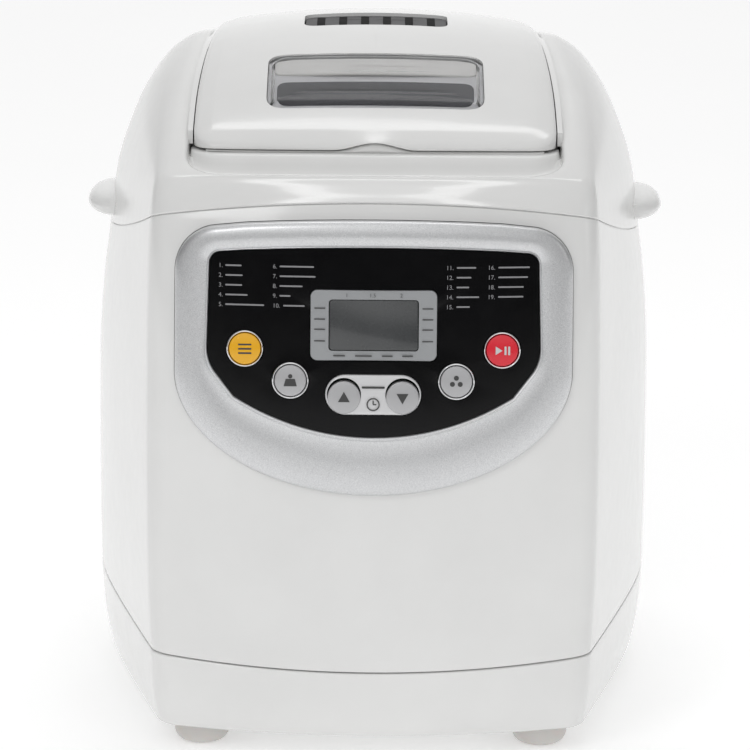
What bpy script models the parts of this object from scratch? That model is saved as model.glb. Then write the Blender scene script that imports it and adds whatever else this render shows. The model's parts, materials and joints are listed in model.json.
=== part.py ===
"""Bread machine, modelled in Blender as the separate pieces that it comes apart into.

Sizes below are millimetres; solids are written in metres. +Z is up, the control panel faces -Y,
and the origin is on the table under the middle of the machine.
"""
import math
from dataclasses import dataclass, replace

import bpy
import bmesh
from mathutils import Matrix, Vector

MM = 0.001
GAP = 0.3                 # air between pieces that touch
RUNNING = 0.35            # air between a turning piece and its seat

# ---------------------------------------------------------------- driving sizes
BODY_HALF_WIDTH = 132.4   # widest point of the housing
BODY_HALF_DEPTH = 175.0
CORNER_X = 98.8           # the crease between the front band and the side panels
FRONT_BOW = 16.0          # how far the front bulges between its creases
BACK_BOW = 12.0
BULGE_Y = 30.0            # where the side panels are widest
WALL = 2.6
CORNER_R = 8.0

BASE_Z = 12.0             # underside of the base tray
LOW_SEAM_Z = 49.3         # base tray to main housing, at the corners
LOW_SEAM_DIP = 4.3
TOP_SEAM_FRONT = 254.5    # main housing to upper housing, at the front's middle
TOP_SEAM_CORNER = 246.5
TOP_SEAM_SIDE = 215.0
SEAM_GAP = 0.6
CREST_Z = 314.6           # highest point of the lid
CREST_Y = 28.7
CREST_FALL = 0.001816      # how fast the top falls away from its crest
EDGE_FALL = (0.8, 7.5)      # how far the lid falls to its sides, at its front and behind its crest
NARROWING = (-75.0, 20.0, 0.025)   # where the lid and its well narrow, how softly, and half the slope
LID_HALF = 81.4
LID_FRONT = -117.0
LID_BACK = 117.0
LID_RIM_Z = 271.3
LID_WALL = 2.6
LEDGE_Z = 270.0
HINGE_Y = 125.5
HINGE_Z = 291.0

WINDOW_HALF = 49.0
WINDOW_Y = (-94.0, -44.0)
VENT_HALF = 33.5
VENT_Y = (-2.0, 28.0)
VENT_SLOTS = 6

CAVITY_Y = 6.0            # middle of the baking chamber
CHAMBER_HALF = (75.0, 98.0)
CHAMBER_FLOOR_Z = 53.0
CHAMBER_TOP_Z = 246.0
SHEET = 1.2               # sheet metal

PAN_RIM_HALF = (62.0, 82.0)
PAN_FLOOR_HALF = (56.0, 75.0)
PAN_FLOOR_Z = 75.5
PAN_RIM_Z = 200.0
PAN_WALL = 1.8
HANDLE_PIVOT_Z = 193.0
HANDLE_REACH = 68.5

SHAFT_R = 4.0
PULLEY_Z = (20.0, 30.0)
BIG_PULLEY_R = 44.0
SMALL_PULLEY_R = 9.0
MOTOR_Y = -128.0
FRAME_Z = 35.0

PANEL_ORIGIN = (0.0, -172.4, 187.8)
PANEL_LEAN = math.radians(4.2)
PANEL_BOW_R = 344.0
BUTTON_R = 6.9
BUTTON_RING_R = 8.15
TIMER_BUTTON_R = 7.2
BUTTON_PLACES = {"menu": (-56.3, 4.4), "start": (56.3, 4.4), "weight": (-36.3, -9.4),
                 "color": (36.3, -9.4)}
TIMER_V = -16.6
TIMER_U = 12.8
TIMER_HALF = (21.0, 8.85)

FOOT_R = 12.5
FOOT_PLACES = {"front_left": (-77.0, -124.0), "front_right": (77.0, -124.0),
               "rear_left": (-77.0, 126.0), "rear_right": (77.0, 126.0)}

# ---------------------------------------------------------------- materials
MATERIALS = {
    "white_plastic": ((0.86, 0.86, 0.85), 0.22, 0.0),
    "foot_plastic": ((0.78, 0.77, 0.76), 0.5, 0.0),
    "silver_paint": ((0.62, 0.63, 0.64), 0.35, 0.7),
    "black_gloss": ((0.01, 0.01, 0.012), 0.12, 0.0),
    "display": ((0.05, 0.055, 0.06), 0.15, 0.0),
    "yellow_button": ((0.95, 0.62, 0.02), 0.25, 0.0),
    "red_button": ((0.75, 0.02, 0.05), 0.25, 0.0),
    "silver_button": ((0.62, 0.62, 0.62), 0.3, 0.3),
    "chrome": ((0.8, 0.8, 0.8), 0.08, 1.0),
    "clear_plastic": ((0.85, 0.87, 0.88), 0.05, 0.0),
    "dark_plastic": ((0.09, 0.09, 0.09), 0.45, 0.0),
    "steel": ((0.6, 0.6, 0.6), 0.3, 1.0),
    "nonstick": ((0.07, 0.07, 0.075), 0.4, 0.6),
    "cast_aluminium": ((0.55, 0.55, 0.56), 0.45, 1.0),
    "rubber": ((0.03, 0.03, 0.03), 0.7, 0.0),
    "silicone": ((0.55, 0.5, 0.45), 0.6, 0.0),
    "circuit_board": ((0.03, 0.2, 0.08), 0.5, 0.0),
    "ceramic": ((0.85, 0.83, 0.78), 0.4, 0.0),
    "brass": ((0.7, 0.5, 0.2), 0.3, 1.0),
}


def material(name):
    made = bpy.data.materials.get(name)
    if made is None:
        colour, rough, metal = MATERIALS[name]
        made = bpy.data.materials.new(name)
        made.use_nodes = True
        shader = made.node_tree.nodes["Principled BSDF"]
        shader.inputs["Base Color"].default_value = (*colour, 1.0)
        shader.inputs["Roughness"].default_value = rough
        shader.inputs["Metallic"].default_value = metal
    return made


# ---------------------------------------------------------------- mesh helpers
def new_object(name, mesh, finish, pivot=(0, 0, 0), smooth=True):
    """An object whose origin is at pivot (mm), from a mesh already in world metres."""
    at = Vector(pivot) * MM
    mesh.transform(Matrix.Translation(-at))
    made = bpy.data.objects.new(name, mesh)
    bpy.context.scene.collection.objects.link(made)
    made.location = at
    mesh.materials.append(material(finish))
    if smooth:
        mesh.shade_smooth()
        mesh.set_sharp_from_angle(angle=math.radians(35))
    return made


def bm_to_mesh(name, bm):
    bmesh.ops.recalc_face_normals(bm, faces=bm.faces)
    mesh = bpy.data.meshes.new(name)
    bm.to_mesh(mesh)
    bm.free()
    return mesh


def skin(name, rings, finish, loop=False, pivot=(0, 0, 0)):
    """A closed solid through rings of equal length (mm). A loop joins its last ring to its first."""
    bm = bmesh.new()
    verts = [[bm.verts.new(Vector(p) * MM) for p in ring] for ring in rings]
    pairs = list(zip(verts, verts[1:]))
    if loop:
        pairs.append((verts[-1], verts[0]))
    for low, high in pairs:
        count = len(low)
        for i in range(count):
            j = (i + 1) % count
            bm.faces.new((low[i], low[j], high[j], high[i]))
    if not loop:
        bm.faces.new(verts[0][::-1])
        bm.faces.new(verts[-1])
    bmesh.ops.triangulate(bm, faces=[f for f in bm.faces if len(f.verts) > 4])
    return new_object(name, bm_to_mesh(name, bm), finish, pivot)


def circle(radius, z, count=32, centre=(0, 0)):
    return [(centre[0] + radius * math.sin(2 * math.pi * i / count),
             centre[1] - radius * math.cos(2 * math.pi * i / count), z) for i in range(count)]


def turned(name, profile, finish, centre=(0, 0), count=28, loop=False, pivot=None):
    """A round solid about Z from (radius, z) points. A loop profile has a bore."""
    rings = [circle(r, z, count, centre) for r, z in profile]
    return skin(name, rings, finish, loop, pivot if pivot else (*centre, profile[0][1]))


def block(name, low, high, finish, bevel=0.0, pivot=None):
    """A box between two corners (mm), its edges rounded by bevel."""
    bm = bmesh.new()
    bmesh.ops.create_cube(bm, size=1.0)
    size = [b - a for a, b in zip(low, high)]
    middle = [(a + b) / 2 for a, b in zip(low, high)]
    bmesh.ops.transform(bm, verts=bm.verts, matrix=Matrix.Translation(Vector(middle) * MM)
                        @ Matrix.Diagonal((*[s * MM for s in size], 1)))
    if bevel:
        bmesh.ops.bevel(bm, geom=bm.edges, offset=bevel * MM, segments=1, affect="EDGES")
    return new_object(name, bm_to_mesh(name, bm), finish, pivot if pivot else middle)


def cylinder_along(name, axis, radius, start, end, centre, finish, count=20, bore=0.0, pivot=None):
    """A rod along X or Y between start and end (mm), at centre in the other two axes."""
    def ring(r, at):
        turns = [2 * math.pi * i / count for i in range(count)]
        if axis == "x":
            return [(at, centre[0] + r * math.cos(a), centre[1] + r * math.sin(a)) for a in turns]
        return [(centre[0] + r * math.sin(a), at, centre[1] + r * math.cos(a)) for a in turns]
    rings = [ring(radius, start), ring(radius, end)]
    if bore:
        rings += [ring(bore, end), ring(bore, start)]
    return skin(name, rings, finish, bool(bore), pivot if pivot else (0, 0, 0))


def cut(target, *cutters):
    """Takes the cutters away from target."""
    for tool in cutters:
        _helper(tool)
        change = target.modifiers.new("cut_" + tool.name, "BOOLEAN")
        change.operation = "DIFFERENCE"
        change.solver = "EXACT"
        change.object = tool
    return target


def join(target, *others):
    """Makes one body of target and the others, which overlap it."""
    for other in others:
        _helper(other)
        change = target.modifiers.new("join_" + other.name, "BOOLEAN")
        change.operation = "UNION"
        change.solver = "EXACT"
        change.object = other
    return target


def _helper(tool):
    tool.hide_render = True
    tool.display_type = "WIRE"


def on_joint(name, pivot, *pieces):
    """An empty on a joint's axis, with the moving pieces parented to it."""
    empty = bpy.data.objects.new(name, None)
    empty.location = Vector(pivot) * MM
    bpy.context.scene.collection.objects.link(empty)
    for piece in pieces:
        piece.parent = empty
        piece.matrix_parent_inverse = Matrix.Translation(-Vector(pivot) * MM)
    return empty


# ---------------------------------------------------------------- the housing's outer shape
FRONT_STEPS, SIDE_STEPS, BACK_STEPS, CORNER_STEPS = 8, 10, 6, 2
SIDE_EASE = 50.0          # how wide the side panels' bulge is at its middle


@dataclass
class Ring:
    """One closed line round the housing, from its front (y, z), corners (x, y, z) and sides (x, z)."""
    front: tuple
    corner: tuple
    side: tuple
    back: tuple
    back_corner: tuple
    climb: float = 2.0    # how the line climbs from the middle of the side to its corners
    round: float = CORNER_R
    taper: float = 0.0    # how much of the lid's narrowing towards the back the line takes

    def inset(self, by, down=0.0):
        """The same line moved inwards, and down where it lies on top."""
        return replace(
            self,
            front=(self.front[0] + by, self.front[1] - down),
            corner=(self.corner[0] - by, self.corner[1] + by, self.corner[2] - down),
            side=(self.side[0] - by, self.side[1] - down),
            back=(self.back[0] - by, self.back[1] - down),
            back_corner=(self.back_corner[0] - by, self.back_corner[1] - by, self.back_corner[2] - down),
            round=max(self.round - by, 1.0))

    def raised(self, by):
        return self.inset(0.0, -by)

    def front_edge(self, x):
        share = (x / self.corner[0]) ** 2
        return (x, self.front[0] + (self.corner[1] - self.front[0]) * share,
                self.front[1] + (self.corner[2] - self.front[1]) * share)

    def back_edge(self, x):
        share = (x / self.back_corner[0]) ** 2
        return (x, self.back[0] + (self.back_corner[1] - self.back[0]) * share,
                self.back[1] + (self.back_corner[2] - self.back[1]) * share)

    def side_edge(self, y):
        end = self.corner if y < BULGE_Y else self.back_corner
        share = abs((y - BULGE_Y) / (end[1] - BULGE_Y))
        bulge = (math.hypot(y - BULGE_Y, SIDE_EASE) - SIDE_EASE) / (math.hypot(end[1] - BULGE_Y,
                                                                               SIDE_EASE) - SIDE_EASE)
        return (self.side[0] + (end[0] - self.side[0]) * bulge, y,
                self.side[1] + (end[2] - self.side[1]) * share ** self.climb)

    def points(self):
        """Points round the line, anticlockwise from above, starting at the front's left end."""
        r = self.round
        half_f, half_b = self.corner[0] - r, self.back_corner[0] - r
        low, high = self.corner[1] + r, self.back_corner[1] - r
        front = [self.front_edge(half_f * (2 * i / FRONT_STEPS - 1)) for i in range(FRONT_STEPS + 1)]
        right = [self.side_edge(low + (high - low) * i / SIDE_STEPS) for i in range(SIDE_STEPS + 1)]
        back = [self.back_edge(half_b * (1 - 2 * i / BACK_STEPS)) for i in range(BACK_STEPS + 1)]
        left = [(-x, y, z) for x, y, z in reversed(right)]
        found = []
        corners = [self.corner, self.back_corner, (-self.back_corner[0], *self.back_corner[1:]),
                   (-self.corner[0], *self.corner[1:])]
        edges = [front, right, back, left]
        for k, edge in enumerate(edges):
            found += edge
            found += bend(edge[-1], corners[k], edges[(k + 1) % 4][0], CORNER_STEPS)
        return [(narrowed(x, y, self.taper), y, z) for x, y, z in found]


def narrowed(x, y, taper):
    """The place across after the lid and its well draw in towards the back."""
    start, ease, slope = NARROWING
    by = taper * slope * (math.hypot(y - start, ease) + y - start)
    return x - by * max(-1.0, min(1.0, x / LID_HALF))


def bend(start, corner, end, steps):
    """The points between start and end of a curve that turns at corner."""
    found = []
    for i in range(1, steps):
        t = i / steps
        found.append(tuple((1 - t) ** 2 * a + 2 * t * (1 - t) * c + t * t * b
                           for a, c, b in zip(start, corner, end)))
    return found


def level(z, front_y, corner, side_x, **more):
    """A ring that lies level, or nearly so, round the lower housing."""
    x, y = corner
    return Ring(front=(front_y, z), corner=(x, y, z), side=(side_x, z), back=(-front_y, z),
                back_corner=(x + 1.0, -front_y - BACK_BOW, z), **more)


BOTTOM = level(BASE_Z, -160.0, (95.0, -144.0), 127.8)
SKIRT = level(28.0, -166.5, (96.4, -150.5), 130.6)
LOW_SEAM = replace(level(LOW_SEAM_Z, -170.4, (97.3, -154.6), 132.0),
                   front=(-170.4, LOW_SEAM_Z - LOW_SEAM_DIP))
BELLY = [level(80.0, -174.0, (98.4, -158.0), BODY_HALF_WIDTH),
         level(120.0, -BODY_HALF_DEPTH, (CORNER_X, -BODY_HALF_DEPTH + FRONT_BOW), BODY_HALF_WIDTH),
         level(160.0, -174.0, (CORNER_X, -158.2), 132.0),
         replace(level(200.0, -171.6, (98.6, -156.0), 130.0), side=(130.0, 190.0)),
         replace(level(234.0, -167.6, (98.2, -152.6), 128.0), side=(128.0, 206.0),
                 corner=(98.2, -152.6, 228.0),
                 back_corner=(98.6, 160.6, 228.0))]
TOP_SEAM = Ring((-160.5, TOP_SEAM_FRONT), (97.5, -148.5, TOP_SEAM_CORNER), (126.8, TOP_SEAM_SIDE),
                (167.0, 250.0), (97.5, 157.5, 243.0), climb=1.5)
DOME = [Ring((-157.8, 256.7), (97.4, -147.6, 249.8), (123.2, 243.0), (165.0, 259.0), (97.5, 155.5, 253.0),
             2.6),
        Ring((-154.4, 258.2), (97.2, -146.0, 253.4), (117.4, 262.0), (161.0, 268.0), (97.2, 152.0, 262.0),
             2.1),
        Ring((-151.0, 259.6), (96.7, -144.2, 257.0), (109.4, 280.0), (156.0, 277.0), (96.4, 148.0, 271.0),
             1.8),
        Ring((-147.6, 261.0), (95.6, -142.4, 260.0), (100.6, 295.0), (150.0, 284.0), (96.0, 145.0, 279.0),
             1.6,
             taper=0.35),
        Ring((-144.0, 262.4), (92.2, -140.4, 262.4), (92.2, 303.0), (143.0, 289.0), (92.2, 141.0, 286.0),
             1.4,
             taper=0.8)]
DOME_LINING = [Ring((-143.5, 258.8), (89.6, -140.2, 259.2), (90.0, 300.2), (140.6, 286.4),
                    (90.4, 138.8, 283.4), 1.4,
                    taper=0.8),
               Ring((-146.2, 258.0), (92.8, -141.0, 257.8), (98.2, 293.2), (147.8, 281.8),
                    (93.6, 142.8, 277.0), 1.6,
                    taper=0.35),
               Ring((-149.6, 256.6), (94.2, -142.4, 255.4), (107.0, 278.6), (153.6, 275.2),
                    (94.0, 145.6, 269.4), 1.8),
               Ring((-153.0, 255.2), (94.6, -143.8, 252.2), (114.9, 261.0), (158.4, 266.6),
                    (94.6, 149.4, 260.8), 2.1),
               Ring((-155.6, 254.0), (94.8, -145.2, 248.8), (120.6, 242.4), (162.4, 258.0),
                    (94.9, 152.9, 252.0), 2.6),
               TOP_SEAM.raised(SEAM_GAP).inset(WALL)]
WELL_EDGE = Ring((-140.0, 263.6), (83.6, -137.8, 263.6), (83.4, 305.0), (135.0, 291.0),
                 (83.4, 134.0, 290.0), 1.3,
                 round=19.0, taper=1.0)
WELL_FOOT = Ring((-130.5, 261.8), (83.0, -129.5, 261.8), (83.0, LEDGE_Z), (134.4, LEDGE_Z),
                 (83.0, 133.4, LEDGE_Z),
                 climb=9.0, round=18.0, taper=1.0)
WELL_FOOT_LINING = Ring((-131.4, 258.8), (85.6, -130.6, 258.8), (85.6, LEDGE_Z - WALL),
                        (137.0, LEDGE_Z - WALL),
                        (85.6, 136.0, LEDGE_Z - WALL), climb=9.0, round=19.0, taper=1.0)
WELL_EDGE_LINING = Ring((-141.2, 259.0), (86.0, -139.2, 259.2), (86.0, 301.6), (137.8, 287.4),
                        (86.0, 136.6, 286.0),
                        1.3, round=19.5, taper=1.0)
RECESS_TOP = Ring((-122.0, LEDGE_Z), (82.6, -121.0, LEDGE_Z), (82.6, LEDGE_Z), (133.4, LEDGE_Z),
                  (82.6, 132.4, LEDGE_Z), round=17.0, taper=1.0)
OPENING_HALF = 71.0
OPENING_Y = (CAVITY_Y - CHAMBER_HALF[1] - 2.0, CAVITY_Y + CHAMBER_HALF[1] + 2.0)
COLLAR_Z = CHAMBER_TOP_Z + 4.0


def rectangle(half, y_low, y_high, z, radius, bow=0.0):
    """A level ring with straight sides, bowed a little at the front."""
    return Ring((y_low - bow, z), (half, y_low, z), (half, z), (y_high, z), (half, y_high, z),
                round=radius)


def housing_shells():
    """The base tray, the main housing with its panel opening, and the upper housing with the lid's well."""
    seam_low = LOW_SEAM.raised(-SEAM_GAP)
    floor = BASE_Z + WALL
    base = skin("base_tray", [
        r.points() for r in (BOTTOM.inset(3.0), BOTTOM.raised(1.5), SKIRT, seam_low, seam_low.inset(WALL),
                             SKIRT.inset(WALL), BOTTOM.inset(WALL + 2).raised(WALL))], "white_plastic")
    slots = [block(f"base_slot_{i}", (-40, y - 2.0, 0), (40, y + 2.0, floor + 6), "white_plastic")
             for i, y in enumerate((-70.0, -56.0, 60.0, 74.0))]
    cut(base, *slots)

    shell = [LOW_SEAM, *BELLY, TOP_SEAM]
    main = skin("main_housing", [r.points() for r in shell] + [r.inset(WALL).points()
                                                               for r in reversed(shell)],
                "white_plastic", loop=True)
    opening = panel_prism("panel_opening", bezel_outline(0.4), -30.0, 20.0)
    gland_hole = cylinder_along("gland_hole", "y", 6.5, 150.0, 190.0, (GLAND_X, GLAND_Z), "white_plastic",
                                16)
    louvres = [block(f"louvre_{i}", (-36, 150, z), (36, 190, z + 4.2), "white_plastic")
               for i, z in enumerate((84.0, 94.0, 104.0, 114.0, 124.0))]
    cut(main, opening, gland_hole, *louvres)

    outer = [TOP_SEAM.raised(SEAM_GAP), *DOME, WELL_EDGE, WELL_FOOT, RECESS_TOP,
             rectangle(OPENING_HALF + 1.5, OPENING_Y[0] - 1.5, OPENING_Y[1] + 1.5, LEDGE_Z, 14.0),
             rectangle(OPENING_HALF, *OPENING_Y, LEDGE_Z - 2.0, 12.0),
             rectangle(OPENING_HALF, *OPENING_Y, COLLAR_Z, 12.0)]
    under = LEDGE_Z - WALL
    inner = [rectangle(OPENING_HALF + WALL, OPENING_Y[0] - WALL, OPENING_Y[1] + WALL, COLLAR_Z, 14.0),
             rectangle(OPENING_HALF + WALL, OPENING_Y[0] - WALL, OPENING_Y[1] + WALL, under, 14.0),
             replace(RECESS_TOP.inset(-WALL, WALL), front=(-122.6, under), corner=(85.2, -121.0, under),
                     round=18.0),
             WELL_FOOT_LINING, WELL_EDGE_LINING, *DOME_LINING]
    upper = skin("upper_housing", [r.points() for r in outer + inner], "white_plastic", loop=True)
    ears = []
    for side in (-1, 1):
        for i, x in enumerate(HINGE_EARS):
            low, high = sorted((side * x, side * (x + EAR_THICK)))
            ears.append(block(f"hinge_ear_{side}_{i}", (low, HINGE_Y - 4.6, LEDGE_Z - 1.0),
                              (high, HINGE_Y + 4.6, HINGE_Z + 4.2), "white_plastic", 0.8))
    join(upper, *ears)
    pin_holes = cylinder_along("pin_bore", "x", HINGE_PIN_R + GAP, -72, 72, (HINGE_Y, HINGE_Z),
                               "white_plastic", 16)
    cut(upper, pin_holes)


HINGE_EARS = (47.0, 65.5)
EAR_THICK = 4.0
HINGE_PIN_R = 2.0
GLAND_X, GLAND_Z = 70.0, 66.0
GLAND_END = 178.4


def side_grips():
    """The two lifting ears on the sides, where the upper housing sweeps lowest."""
    for side, name in ((-1, "grip_left"), (1, "grip_right")):
        rings = []
        for i in range(GRIP_STEPS + 1):
            share = 2 * i / GRIP_STEPS - 1
            y = GRIP_Y + GRIP_HALF * share
            reach = math.sqrt(max(1 - abs(share) ** 2.6, 0.0))
            root = TOP_SEAM.side_edge(y)[0] + 0.4
            out = (GRIP_REACH - root) * reach + 0.7
            rings.append([(side * (root + out * a), y, GRIP_Z + b * (0.45 + 0.55 * reach)) for a,
                          b in GRIP_PROFILE])
        skin(name, rings, "white_plastic")


GRIP_Y, GRIP_HALF, GRIP_STEPS = 20.0, 32.0, 10
GRIP_REACH = 136.3
GRIP_Z = 226.0
GRIP_PROFILE = [(0.0, -5.6), (0.45, -5.0), (0.85, -2.8), (1.0, 0.2), (0.93, 2.8), (0.65, 4.9), (0.3, 5.8),
                (0.0, 6.1)]


# ---------------------------------------------------------------- the control panel
def on_panel(u, v, w):
    """A point of the bowed, leaning control panel: u across, v up, w outwards."""
    x0, y0, z0 = PANEL_ORIGIN
    n = w - u * u / (2 * PANEL_BOW_R)
    return (x0 + u, y0 + v * math.sin(PANEL_LEAN) - n * math.cos(PANEL_LEAN),
            z0 + v * math.cos(PANEL_LEAN) + n * math.sin(PANEL_LEAN))


def arc(centre, radii, start, end, steps):
    """Points of an elliptical arc, by angles in degrees."""
    turns = [math.radians(start + (end - start) * i / steps) for i in range(steps + 1)]
    return [(centre[0] + radii[0] * math.cos(a), centre[1] + radii[1] * math.sin(a)) for a in turns]


def bezel_outline(grow=0.0):
    """The bezel's outer line: a shallow arch on top, rounded shoulders and half an ellipse below."""
    g = grow
    half = [*arc((0, -7.9), (87.5 + g, 53.5 + g), -90, 0, 12),
            *arc((67.3, 36.5), (20.0 + g, 20.0 + g), 2, 84, 5),
            (35.0, 59.2 + g)]
    return half + [(-u, v) for u, v in reversed(half[1:])]


def fascia_outline(grow=0.0):
    """The black fascia's line: an arched top, tight upper corners and a long shallow curve below."""
    g = grow
    half = [*arc((0, 81.6), (117.0 + g, 116.8 + g), -90, -58.5, 8),
            *arc((58.8, 3.0), (14.0 + g, 16.0 + g), -42, 0, 5),
            *arc((66.8, 40.2), (5.0 + g, 5.0 + g), 0, 86, 3),
            (33.0, 47.2 + g)]
    return half + [(-u, v) for u, v in reversed(half[1:])]


def panel_prism(name, outline, low, high, finish="black_gloss", pivot=None):
    """A plate of the panel between two depths, following its bow."""
    return skin(name, [[on_panel(u, v, w) for u, v in outline] for w in (low, high)], finish,
                pivot=pivot if pivot else on_panel(0, 0, 0))


def stadium(half_u, half_v, steps=8):
    """Round-ended outline, anticlockwise."""
    flat = half_u - half_v
    return [*arc((flat, 0), (half_v, half_v), -90, 90, steps),
            *arc((-flat, 0), (half_v, half_v), 90, 270, steps)]


def rounded_box(half_u, half_v, r, steps=3):
    return [*arc((half_u - r, r - half_v), (r, r), -90, 0, steps),
            *arc((half_u - r, half_v - r), (r, r), 0, 90, steps),
            *arc((r - half_u, half_v - r), (r, r), 90, 180, steps),
            *arc((r - half_u, r - half_v), (r, r), 180, 270, steps)]


def moved(outline, u, v):
    return [(a + u, b + v) for a, b in outline]


def disc_outline(radius, u, v, count=24):
    return [(u + radius * math.cos(2 * math.pi * i / count),
             v + radius * math.sin(2 * math.pi * i / count))
            for i in range(count)]


def flat_disc(name, u, v, radius, low, high, finish, bore=0.0, crown=0.0, stem=None):
    """A round piece standing square on the panel at (u, v); a cap may be crowned and have a stem behind."""
    lean_u = u * u / (2 * PANEL_BOW_R)

    def ring(r, w):
        found = []
        for a, b in disc_outline(r, 0, 0, 20):
            x, y, z = on_panel(0, v + b, w - lean_u)
            found.append((x + u + a, y, z))
        return found
    if bore:
        rings = [ring(radius, low), ring(radius, high - 0.4), ring(radius - 0.4, high), ring(bore, high),
                 ring(bore, low)]
    else:
        rings = [ring(radius, low), ring(radius, high - 0.5), ring(radius - 0.6, high)]
        if crown:
            rings.append(ring(radius * 0.5, high + crown))
        if stem:
            rings = [ring(stem[0], stem[1]), ring(stem[0], low)] + rings
    return skin(name, rings, finish, bool(bore), on_panel(u, v, low))


LCD_CENTRE = (0.0, 13.9)
LCD_FRAME_HALF = (27.6, 15.5)
LCD_HALF = (19.4, 11.0)
FASCIA_DEPTH = (-2.6, 0.2)


def control_panel():
    """Bezel, fascia, display, buttons and the board behind them."""
    outer, inner = bezel_outline(), fascia_outline(GAP)

    def between(share, w):
        return [on_panel(*(a + (b - a) * share for a, b in zip(p, q)), w) for p, q in zip(outer, inner)]
    skin("panel_bezel", [between(0.0, -7.0), between(0.0, 0.3), between(0.06, 1.1), between(0.5, 2.4),
                         between(0.93, 1.2), between(1.0, 0.5), between(1.0, -7.0)], "silver_paint",
         loop=True,
         pivot=on_panel(0, 0, 0))

    fascia = panel_prism("panel_fascia", fascia_outline(), *FASCIA_DEPTH)
    holes = [panel_prism(f"hole_{n}", disc_outline(BUTTON_RING_R + GAP, u, v), -10, 10)
             for n, (u, v) in BUTTON_PLACES.items()]
    holes.append(panel_prism("hole_timer", moved(stadium(*[h + GAP for h in TIMER_HALF]), 0, TIMER_V),
                             -10, 10))
    holes.append(panel_prism("hole_lcd", moved(rounded_box(*[h + GAP for h in LCD_FRAME_HALF], 3.2),
                                               *LCD_CENTRE),
                             -10, 10))
    cut(fascia, *holes)

    frame = panel_prism("display_frame", moved(rounded_box(*LCD_FRAME_HALF, 3.0), *LCD_CENTRE), -2.6, 0.5,
                        "silver_button")
    cut(frame, panel_prism("hole_glass", moved(rounded_box(*[h + GAP for h in LCD_HALF], 1.6),
                                               *LCD_CENTRE), -10, 10))
    panel_prism("display_glass", moved(rounded_box(*LCD_HALF, 1.4), *LCD_CENTRE), -3.4, -0.3, "display")

    surround = panel_prism("timer_surround", moved(stadium(*TIMER_HALF), 0, TIMER_V), -2.6, 0.9,
                           "silver_button")
    cut(surround, *[panel_prism(f"hole_timer_{i}", disc_outline(TIMER_BUTTON_R + GAP, u, TIMER_V), -10,
                                10)
                    for i, u in enumerate((-TIMER_U, TIMER_U))])

    finishes = {"menu": "yellow_button", "start": "red_button", "weight": "silver_button",
                "color": "silver_button"}
    for name, (u, v) in BUTTON_PLACES.items():
        flat_disc(f"{name}_button_ring", u, v, BUTTON_RING_R, -2.6, 1.3, "chrome", bore=BUTTON_R + GAP)
        flat_disc(f"{name}_button", u, v, BUTTON_R, -4.2, 1.6, finishes[name], crown=0.4,
                  stem=(2.5, STEM_BACK))
    for name, u in (("timer_up", -TIMER_U), ("timer_down", TIMER_U)):
        flat_disc(f"{name}_button", u, TIMER_V, TIMER_BUTTON_R, -4.2, 1.5, "silver_button", crown=0.3,
                  stem=(2.5, STEM_BACK))

    lean_half = 62.0
    board = flat_plate("control_board", lean_half, (-32.0, 34.0), BOARD_W - 1.6, BOARD_W, "circuit_board")
    switches = []
    for name, (u, v) in {**BUTTON_PLACES, "up": (-TIMER_U, TIMER_V), "down": (TIMER_U, TIMER_V)}.items():
        top = STEM_BACK - BUTTON_TRAVEL - 0.3 - u * u / (2 * PANEL_BOW_R)
        switches.append(flat_plate(f"switch_{name}", 3.0, (v - 3.0, v + 3.0), BOARD_W - 0.8, top,
                                   "circuit_board", u))
    join(board, *switches)


STEM_BACK = -8.0
BOARD_W = -19.0
BUTTON_TRAVEL = 1.0


def flat_plate(name, half_u, v_range, low, high, finish, u=0.0):
    """A flat plate that leans with the panel but doesn't follow its bow."""
    corners = [(-half_u, v_range[0]), (half_u, v_range[0]), (half_u, v_range[1]), (-half_u, v_range[1])]
    rings = [[(p[0] + u + a, p[1], p[2]) for a, b in corners for p in [on_panel(0, b, w)]]
             for w in (low, high)]
    return skin(name, rings, finish)


# ---------------------------------------------------------------- the lid
NOTCH_R, NOTCH_RISE = 41.2, 3.9


def lid_height(x, y):
    """Height of the lid's outer face: a crest behind the middle, falling to the front and the sides."""
    front, rear = EDGE_FALL
    fall = front + (rear - front) * (y - LID_FRONT) / (CREST_Y - LID_FRONT)
    return CREST_Z - CREST_FALL * (CREST_Y - y) ** 2 - min(fall, rear) * (x / LID_HALF) ** 2


def lid_ring(inset, drop, flat=None):
    """A line on the lid, inset from its edge and drop below its outer face, or at a flat height."""
    ring = replace(rectangle(LID_HALF - inset, LID_FRONT + inset, LID_BACK - inset, 0.0,
                             max(13.0 - inset, 1.5),
                             bow=1.5), taper=1.0)
    return [(x, y, flat if flat is not None else lid_height(x, y) - drop) for x, y, _ in ring.points()]


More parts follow.
